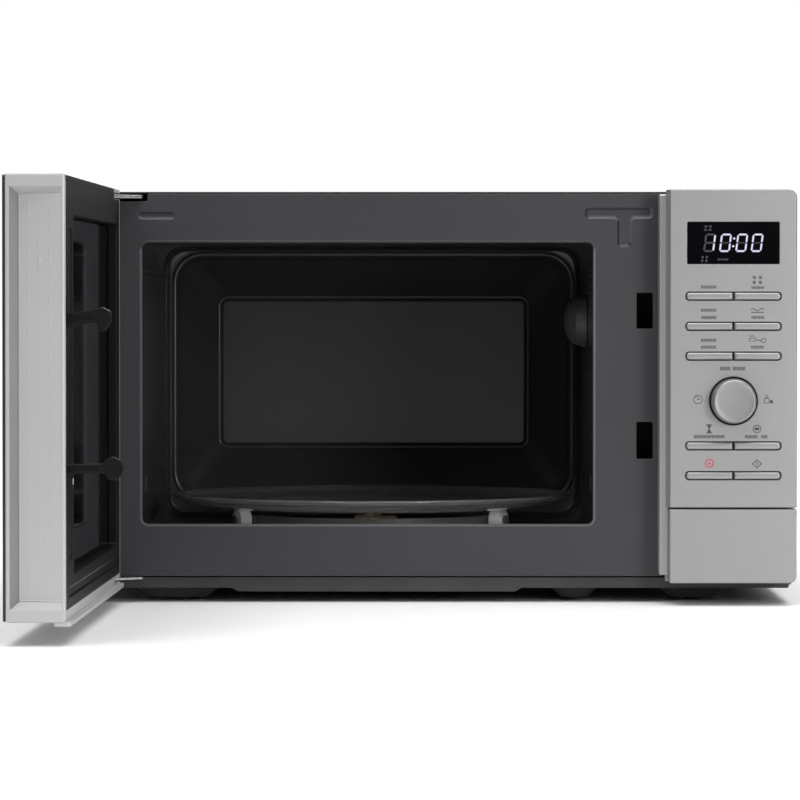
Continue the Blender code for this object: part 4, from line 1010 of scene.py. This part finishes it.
knob = new()
lathe(
    knob,
    [(0.0, -50.62), (4.0, -50.64), (8.0, -50.70), (11.0, -50.80), (12.6, -50.92), (13.0, -51.0), (13.35, -50.98)]
    + [(13.7, -50.8), (14.15, -50.35), (14.45, -49.7), (14.62, -48.9), (15.15, -39.9), (15.2, -38.6), (15.2, -36.7), (15.0, -36.6)]
    + [(3.3, -36.6), (3.3, -46.0), (0.0, -46.0)],
    (KX, KZ),
    "y",
    128,
)
finish_mesh("vis_control_knob", knob, KNOBM, "knob", ["control_knob"], sharp=30)
# painted shade: a near-black ring in the gap between the knob and the fascia
shade = new()
lathe(shade, [(16.25, -37.55), (16.25, -35.9), (15.95, -35.9), (15.95, -37.4)], (KX, KZ), "y", 96)
finish_mesh("vis_knob_ring_painted_shade", shade, SHADE_BLACK, "cabinet")

for row, z in enumerate(KEY_ROWS, 1):
    for side, (x0, x1) in zip(("left", "right"), KEY_COLS):
        key = new()
        radii = (2.35, 0.5, 0.5, 2.35) if side == "left" else (0.5, 2.35, 2.35, 0.5)
        rings = []
        for g, y in ((0.0, -36.0), (0.0, -36.3), (0.22, -36.5), (0.22, -37.9), (0.32, -38.3), (0.55, -38.68), (0.85, -38.95), (1.2, -39.1), (1.6, -39.18), (2.0, -39.2)):
            rr = tuple(max(0.12, r - g) for r in radii)
            rings.append([(x, y, zz) for x, zz in rect(x0 + g, x1 - g, z - KEY_H / 2 + g, z + KEY_H / 2 - g, rr, 6)])
        loft(key, rings)
        finish_mesh(f"vis_key_{row}_{side}", key, KEYM, f"key_{row}_{side}", [f"key_{row}_{side}"])

push = panel_shell(-20.5, 402.4, 402.6, 15.1, 64.9, (1.5, 4.8, 0.8, 0.8), 2.0, [], edge=1.3)
finish_mesh("vis_release_button", push, BRUSHED, "release_button", ["door_release_button"])

# ---------------------------------------------------------------- door
frame_m = new()
outline = fillet([(0.0, -36.4), (395.0, -36.4), (395.0, -0.5), (9.0, -0.5), (0.0, -12.0)], [1.2, 1.2, 1.6, 2.0, 3.0], 4)
slab(frame_m, "z", outline, 14.0, 280.0, r=1.0, rb=1.0, seg=4)
inside = new()
prism(inside, "z", [(3.0, -33.4), (386.0, -33.4), (391.5, -6.5), (391.5, 0.6), (13.7, 0.6), (3.0, -13.0)], 21.0, 276.8)
frame_m = boolean(frame_m, inside)
c = new()
prism(c, "y", rect(60.0, 336.0, 62.0, 236.0, 6, 5), -38.0, -32.0)
frame_m = boolean(frame_m, c)
c = new()
loft(
    c,
    [
        [(x, y, z) for x, y, z in ((396.2, -34.3, 20.9), (396.2, -2.3, 20.9), (396.2, -2.3, 273.1), (396.2, -34.3, 273.1))],
        [(395.0, -33.8, 21.4), (395.0, -2.6, 21.4), (395.0, -2.6, 272.6), (395.0, -33.8, 272.6)],
        [(388.2, -29.0, 26.0), (394.7, -2.9, 26.0), (394.7, -2.9, 268.4), (388.2, -29.0, 268.4)],
    ],
)
frame_m = boolean(frame_m, c)
for b in ((2.0, 23.0, -34.0, -12.0, 262.0, 272.8), (2.0, 23.0, -34.0, -12.0, 20.0, 30.0), (383.0, 392.0, -17.0, -6.6, 225.0, 229.0)):
    frame_m = boolean(frame_m, block(new(), *b, 0.4), "UNION")
frame_m = boolean(frame_m, slab(new(), "z", rect(14.0, 393.5, -8.0, 2.4, 1.2, 4), 14.6, 11.4, r=0.4, rb=1.0), "UNION")
for b in ((-2.0, 53.0, -29.5, 2.0, 273.3, 277.2), (-2.0, 53.0, -29.5, 2.0, 15.2, 18.4)):
    c = new()
    prism(c, "z", rect(b[0], b[1], b[2], b[3]), b[4], b[5])
    frame_m = boolean(frame_m, c)
for z0, z1 in ((260.0, 274.0), (17.0, 32.0)):
    c = new()
    prism(c, "z", circle(12.0, -21.0, 3.2, 32), z0, z1)
    frame_m = boolean(frame_m, c)
frame_m.normal_update()
# painted shade: the recess's deep left wall takes SHADE, and its top and bottom slopes take SHADE2
for f in frame_m.faces:
    c = f.calc_center_median()
    if 386.5 < c.x < 395.3 and -34.4 < c.y < -28.0 and f.normal.y > 0.3 and f.normal.x > 0.2:
        f.material_index = 1
    elif 386.0 < c.x < 395.3 and (c.z < 29.5 or c.z > 264.5) and abs(f.normal.z) > 0.4 and f.normal.x > 0.12:
        f.material_index = 2
finish_mesh("vis_door_frame", frame_m, [DOORSILVER, SHADE, SHADE2], "door", ["door_frame"], door=True, sharp=38, bevel=0.35)

# raised edges of the recess in the door's free end, and the fine ribs on its floor
trim = new()


def sloped(u, z, lift=0.0):
    """A point on the recess floor: u runs from its deep edge (y -29) to its shallow edge (y -2.7)."""
    t = (u + 29.0) / 26.1
    return (388.2 + 6.5 * t + lift, u, z)


def ridge(bm, a, b, w=0.5, h=0.28):
    """A low rounded rib from one point of the floor to another."""
    (u0, z0), (u1, z1) = a, b
    d = Vector((u1 - u0, z1 - z0)).normalized()
    n = Vector((-d.y, d.x)) * w
    rings = []
    for u, z in ((u0, z0), (u1, z1)):
        rings.append([sloped(u + n.x * k, z + n.y * k, l) for k, l in ((-1, -0.3), (-0.8, 0.1), (-0.3, h), (0.3, h), (0.8, 0.1), (1, -0.3))])
    loft(bm, rings)


ridge(trim, (-28.6, 26.6), (-28.6, 267.4), 0.6, 0.5)
ridge(trim, (-28.6, 267.3), (-3.4, 267.3), 0.5, 0.3)
ridge(trim, (-28.6, 26.7), (-3.4, 26.7), 0.5, 0.3)
for k in range(3):  # faint raised lines along the floor
    u = -23.0 + 6.6 * k
    z, n = 33.0 + 1.5 * k, k
    while z < 258.0:
        length = (4.5, 7.0, 3.2, 5.6, 8.4, 3.8, 6.2)[n % 7]
        ridge(trim, (u, z), (u, z + length), 0.95, 0.16)
        z += length + (2.4, 2.4, 4.0, 2.4, 3.0)[n % 5]
        n += 1
finish_mesh("vis_door_end_trim", trim, DOORSILVER, "door", door=True)

skin = new()
slab(skin, "y", rect(0.4, 394.6, 14.4, 279.6, 2.0, 5), -38.0, -36.6, holes=[rect(52.0, 344.0, 54.0, 244.0, 8, 6)], r=0.5, rh=0.4, rb=0.1, mi=0, side=0)
# painted shade: the skin's edge faces all round are coloured black
for f in skin.faces:
    c = f.calc_center_median()
    if (c.x > 393.9 or c.x < 1.1 or c.z < 15.0 or c.z > 279.1) and c.y > -37.75:
        f.material_index = 1
finish_mesh("vis_door_skin", skin, [BRUSHED, BLACK], "door", ["door_skin"], door=True)
pane = new()
slab(pane, "y", rect(52.3, 343.7, 54.3, 243.7, 7.7, 6), -37.9, -36.7, r=0.3, rb=0.1)
finish_mesh("vis_door_glass", pane, GLOSS, "door", ["door_glass"], door=True)

back_box = new()
rings_i = [[(x, y, z) for x, z in rect(26.0, 380.0, 32.0, 268.0, 4, 4)] for y in (-22.0, -9.6)]
rings_o = [[(x, y, z) for x, z in rect(25.0 + g, 381.0 - g, 31.0 + g, 269.0 - g, 4, 4)] for y, g in ((-22.0, 0.0), (-9.3, 0.0), (-8.75, 0.3), (-8.6, 0.8))]
ins = [[back_box.verts.new(p) for p in r] for r in rings_i]
outs = [[back_box.verts.new(p) for p in r] for r in rings_o]
for a, b in [*zip(ins, ins[1:]), *zip(outs, outs[1:]), (ins[0], outs[0])]:
    bridge(back_box, a, b)
caps(back_box, [ins[-1]])
caps(back_box, [outs[-1]])
finish_mesh("vis_door_screen", back_box, CAVITY, "door", ["door_screen_panel"], door=True)

film = new()
slab(film, "y", rect(26.0, 346.0, 37.0, 259.5, 3, 4), -6.9, -8.2, r=0.4, rb=0.1)
sweep(film, "y", rect(44.0, 328.0, 63.6, 241.6, 5, 6), [(0.9, -6.93), (0.5, -6.72), (-0.5, -6.72), (-0.9, -6.93), (0.0, -7.2)])
finish_mesh("vis_door_inner_window", film, FILM, "door", ["door_inner_window"], door=True)

choke = new()
slab(
    choke,
    "y",
    fillet(
        [(14.1, 21.4), (391.2, 21.4), (391.2, 94.0), (382.6, 94.0), (382.6, 118.0), (391.2, 118.0), (391.2, 183.0), (382.6, 183.0), (382.6, 207.0), (391.2, 207.0)]
        + [(391.2, 276.5), (53.0, 276.5), (53.0, 272.8), (14.1, 272.8)],
        [1, 1, 0.5, 0.8, 0.8, 0.5, 0.5, 0.8, 0.8, 0.5, 1, 0.5, 0.5, 1],
        3,
    ),
    -0.5,
    -6.6,
    holes=[rect(30.0, 342.0, 41.0, 255.5, 3, 5)],
    pockets=[(rect(22.0, 374.0, 27.5, 33.5, 2.0, 4), 0.8, 0.8), (rect(352.0, 372.0, 50.0, 248.0, 3.0, 4), 0.7, 0.8)],
    r=0.5,
    rh=1.2,
    rb=0.2,
)
slab(choke, "y", rect(58.0, 392.6, 276.0, 279.3, 0.8, 3), -0.36, -0.9, r=0.2, rb=0.1)
finish_mesh("vis_choke_cover", choke, INNER, "door", ["choke_cover"], door=True)
dot = new()
cross_head(dot, "y", 347.0, 96.0, -0.6, 1, r=2.0, h=0.4)
finish_mesh("vis_door_screw", dot, STEEL, "door", door=True)

hooks = new()
slab(
    hooks,
    "x",
    fillet(
        [(-14.0, 95.0), (-9.2, 95.0), (-9.2, 101.5), (22.0, 102.5), (23.5, 99.0), (28.0, 98.0), (32.0, 100.5), (33.5, 105.0), (31.5, 110.0), (27.0, 112.4), (23.0, 111.0), (21.0, 108.0)]
        + [(-9.2, 107.5), (-9.2, 188.5), (18.0, 191.5), (20.0, 186.5), (22.5, 186.5), (26.5, 193.0), (25.5, 198.5), (21.0, 201.0), (14.0, 199.0), (-9.2, 196.0), (-9.2, 198.6), (-14.0, 198.6)],
        [1, 1, 2, 1, 2, 2, 2, 2, 2, 2, 2, 1, 2, 2, 1, 0.8, 0.8, 2, 2, 2, 3, 2, 1, 1],
        4,
    ),
    389.0,
    384.0,
    pockets=[(fillet([(-4.0, 103.5), (18.0, 104.2), (18.0, 106.4), (-4.0, 105.8)], 0.6, 2), 0.8, 0.3), (fillet([(-4.0, 190.4), (14.0, 193.4), (14.0, 196.4), (-4.0, 194.6)], 0.8, 2), 0.8, 0.3)],
    r=0.5,
    rb=0.5,
)
lathe(hooks, fillet([(0.0, 197.8), (1.25, 197.8), (1.25, 206.6), (0.0, 206.6)], [0, 0, 0.5, 0], 2, closed=False), (386.8, -11.6), "z", 20)
finish_mesh("vis_latch_hooks", hooks, HOOK, "latch", ["latch_hooks"], door=True)

coil = new()
path = []
for i in range(5 * 28 + 1):
    a = math.tau * i / 28
    path.append((386.8 + 2.1 * math.cos(a), -11.6 + 2.1 * math.sin(a), 205.8 + 18.7 * i / (5 * 28)))
tube(coil, path, 0.36, 8)
spring = finish_mesh("vis_latch_spring", coil, STEEL, "door", ["latch_spring"], door=True, sharp=60)


def hinge_arm(name, z0, z1, pin0, pin1):
    bm = new()
    outline = [(12.0 + 6.5 * math.cos(math.radians(d)), -21.0 + 6.5 * math.sin(math.radians(d))) for d in range(130, 312, 10)]
    outline += [(47.0, -3.0), (47.0, 16.0), (30.0, 16.0), (30.0, -1.0)]
    n = len(outline)
    slab(bm, "z", fillet(outline, [0] * (n - 4) + [2, 1, 1, 2], 3), z1, z0, r=0.35, rb=0.35, seg=2)
    lathe(bm, [(0.0, pin0), (2.4, pin0), (3.0, pin0 + 0.6), (3.0, pin1), (0.0, pin1)], (12.0, -21.0), "z", 32)
    finish_mesh("vis_" + name, bm, STEEL, "cabinet", [name])


hinge_arm("hinge_upper", 274.3, 276.4, 264.0, 275.0)
hinge_arm("hinge_lower", 15.7, 17.3, 17.0, 28.0)

# ---------------------------------------------------------------- inner parts kept from the CAD model
KEPT = {
    "turntable_motor": STEEL,
    "waveguide": STEEL,
    "magnetron": STEEL,
    "inverter_unit": BOARD,
    "fan_housing": GREY,
    "air_duct": GREY,
    "fan_motor": STEEL,
    "fan_blade": GREY,
    "oven_lamp": WHITE,
    # painted shade: the latch board behind the slots takes the near-black shade colour
    "latch_board": SHADE_BLACK,
    "primary_switch": GREY,
    "secondary_switch": GREY,
    "monitor_switch": BLACK,
    "release_lever": WHITE,
    "display_module": BLACK,
    "control_board": BOARD,
    "encoder": STEEL,
}
for name, node in frame["nodes"].items():
    for s in node.material_slots:
        s.material = KEPT.get(name, BLACK)

# ---------------------------------------------------------------- floor, light, camera
floor = bmesh.new()
bmesh.ops.create_circle(floor, cap_ends=True, segments=96, radius=1.35)
mesh = bpy.data.meshes.new("stage_floor")
floor.to_mesh(mesh)
floor.free()
floor = bpy.data.objects.new("stage_floor", mesh)
bpy.context.scene.collection.objects.link(floor)
floor.location = (0, 0, -0.0002)
mesh.materials.append(FLOOR)

world = bpy.data.worlds.new("studio")
bpy.context.scene.world = world
world.use_nodes = True
wt = world.node_tree
back = wt.nodes["Background"]
back.inputs["Color"].default_value = (1.0, 1.0, 1.0, 1)
back.inputs["Strength"].default_value = 1.0
dim = wt.nodes.new("ShaderNodeBackground")
dim.inputs["Color"].default_value = (1.0, 1.0, 1.0, 1)
dim.inputs["Strength"].default_value = 0.24
seen = wt.nodes.new("ShaderNodeLightPath")
both = wt.nodes.new("ShaderNodeMixShader")
wt.links.new(seen.outputs["Is Camera Ray"], both.inputs[0])
wt.links.new(dim.outputs[0], both.inputs[1])
wt.links.new(back.outputs[0], both.inputs[2])
wt.links.new(both.outputs[0], wt.nodes["World Output"].inputs["Surface"])


def softbox(name, at, aim, size, power):
    data = bpy.data.lights.new(name, "AREA")
    data.shape = "RECTANGLE"
    data.size, data.size_y = size
    data.energy = power
    obj = bpy.data.objects.new(name, data)
    bpy.context.scene.collection.objects.link(obj)
    obj.location = at
    obj.rotation_euler = (Vector(aim) - Vector(at)).to_track_quat("-Z", "Y").to_euler()
    return obj


softbox("key_light", (-1.5, -2.5, 1.7), (0, 0.0, 0.12), (1.3, 1.3), 19)
softbox("top_light", (0.1, -0.5, 2.3), (0.05, 0.0, 0.0), (2.6, 1.8), 62)
softbox("fill_light", (1.9, -2.1, 1.1), (0.1, 0.0, 0.14), (1.2, 1.2), 3.5)
softbox("cavity_light", (0.85, -1.5, 0.42), (-0.1, 0.15, 0.15), (0.35, 0.5), 7)
softbox("rear_light", (0.3, 2.6, 1.5), (0.0, 0.2, 0.14), (2.0, 1.4), 36)

cam = bpy.data.cameras.new("camera")
cam.sensor_width = 36.0
cam.lens = 206.685
cam.clip_end = 40.0
camera = bpy.data.objects.new("camera", cam)
bpy.context.scene.collection.objects.link(camera)
camera.location = W((238.5, -3119.0, 204.0))
camera.rotation_euler = (math.radians(90.0 - 1.2225), 0.0, math.radians(0.3119))
bpy.context.scene.camera = camera
bpy.context.scene.view_settings.view_transform = "Standard"
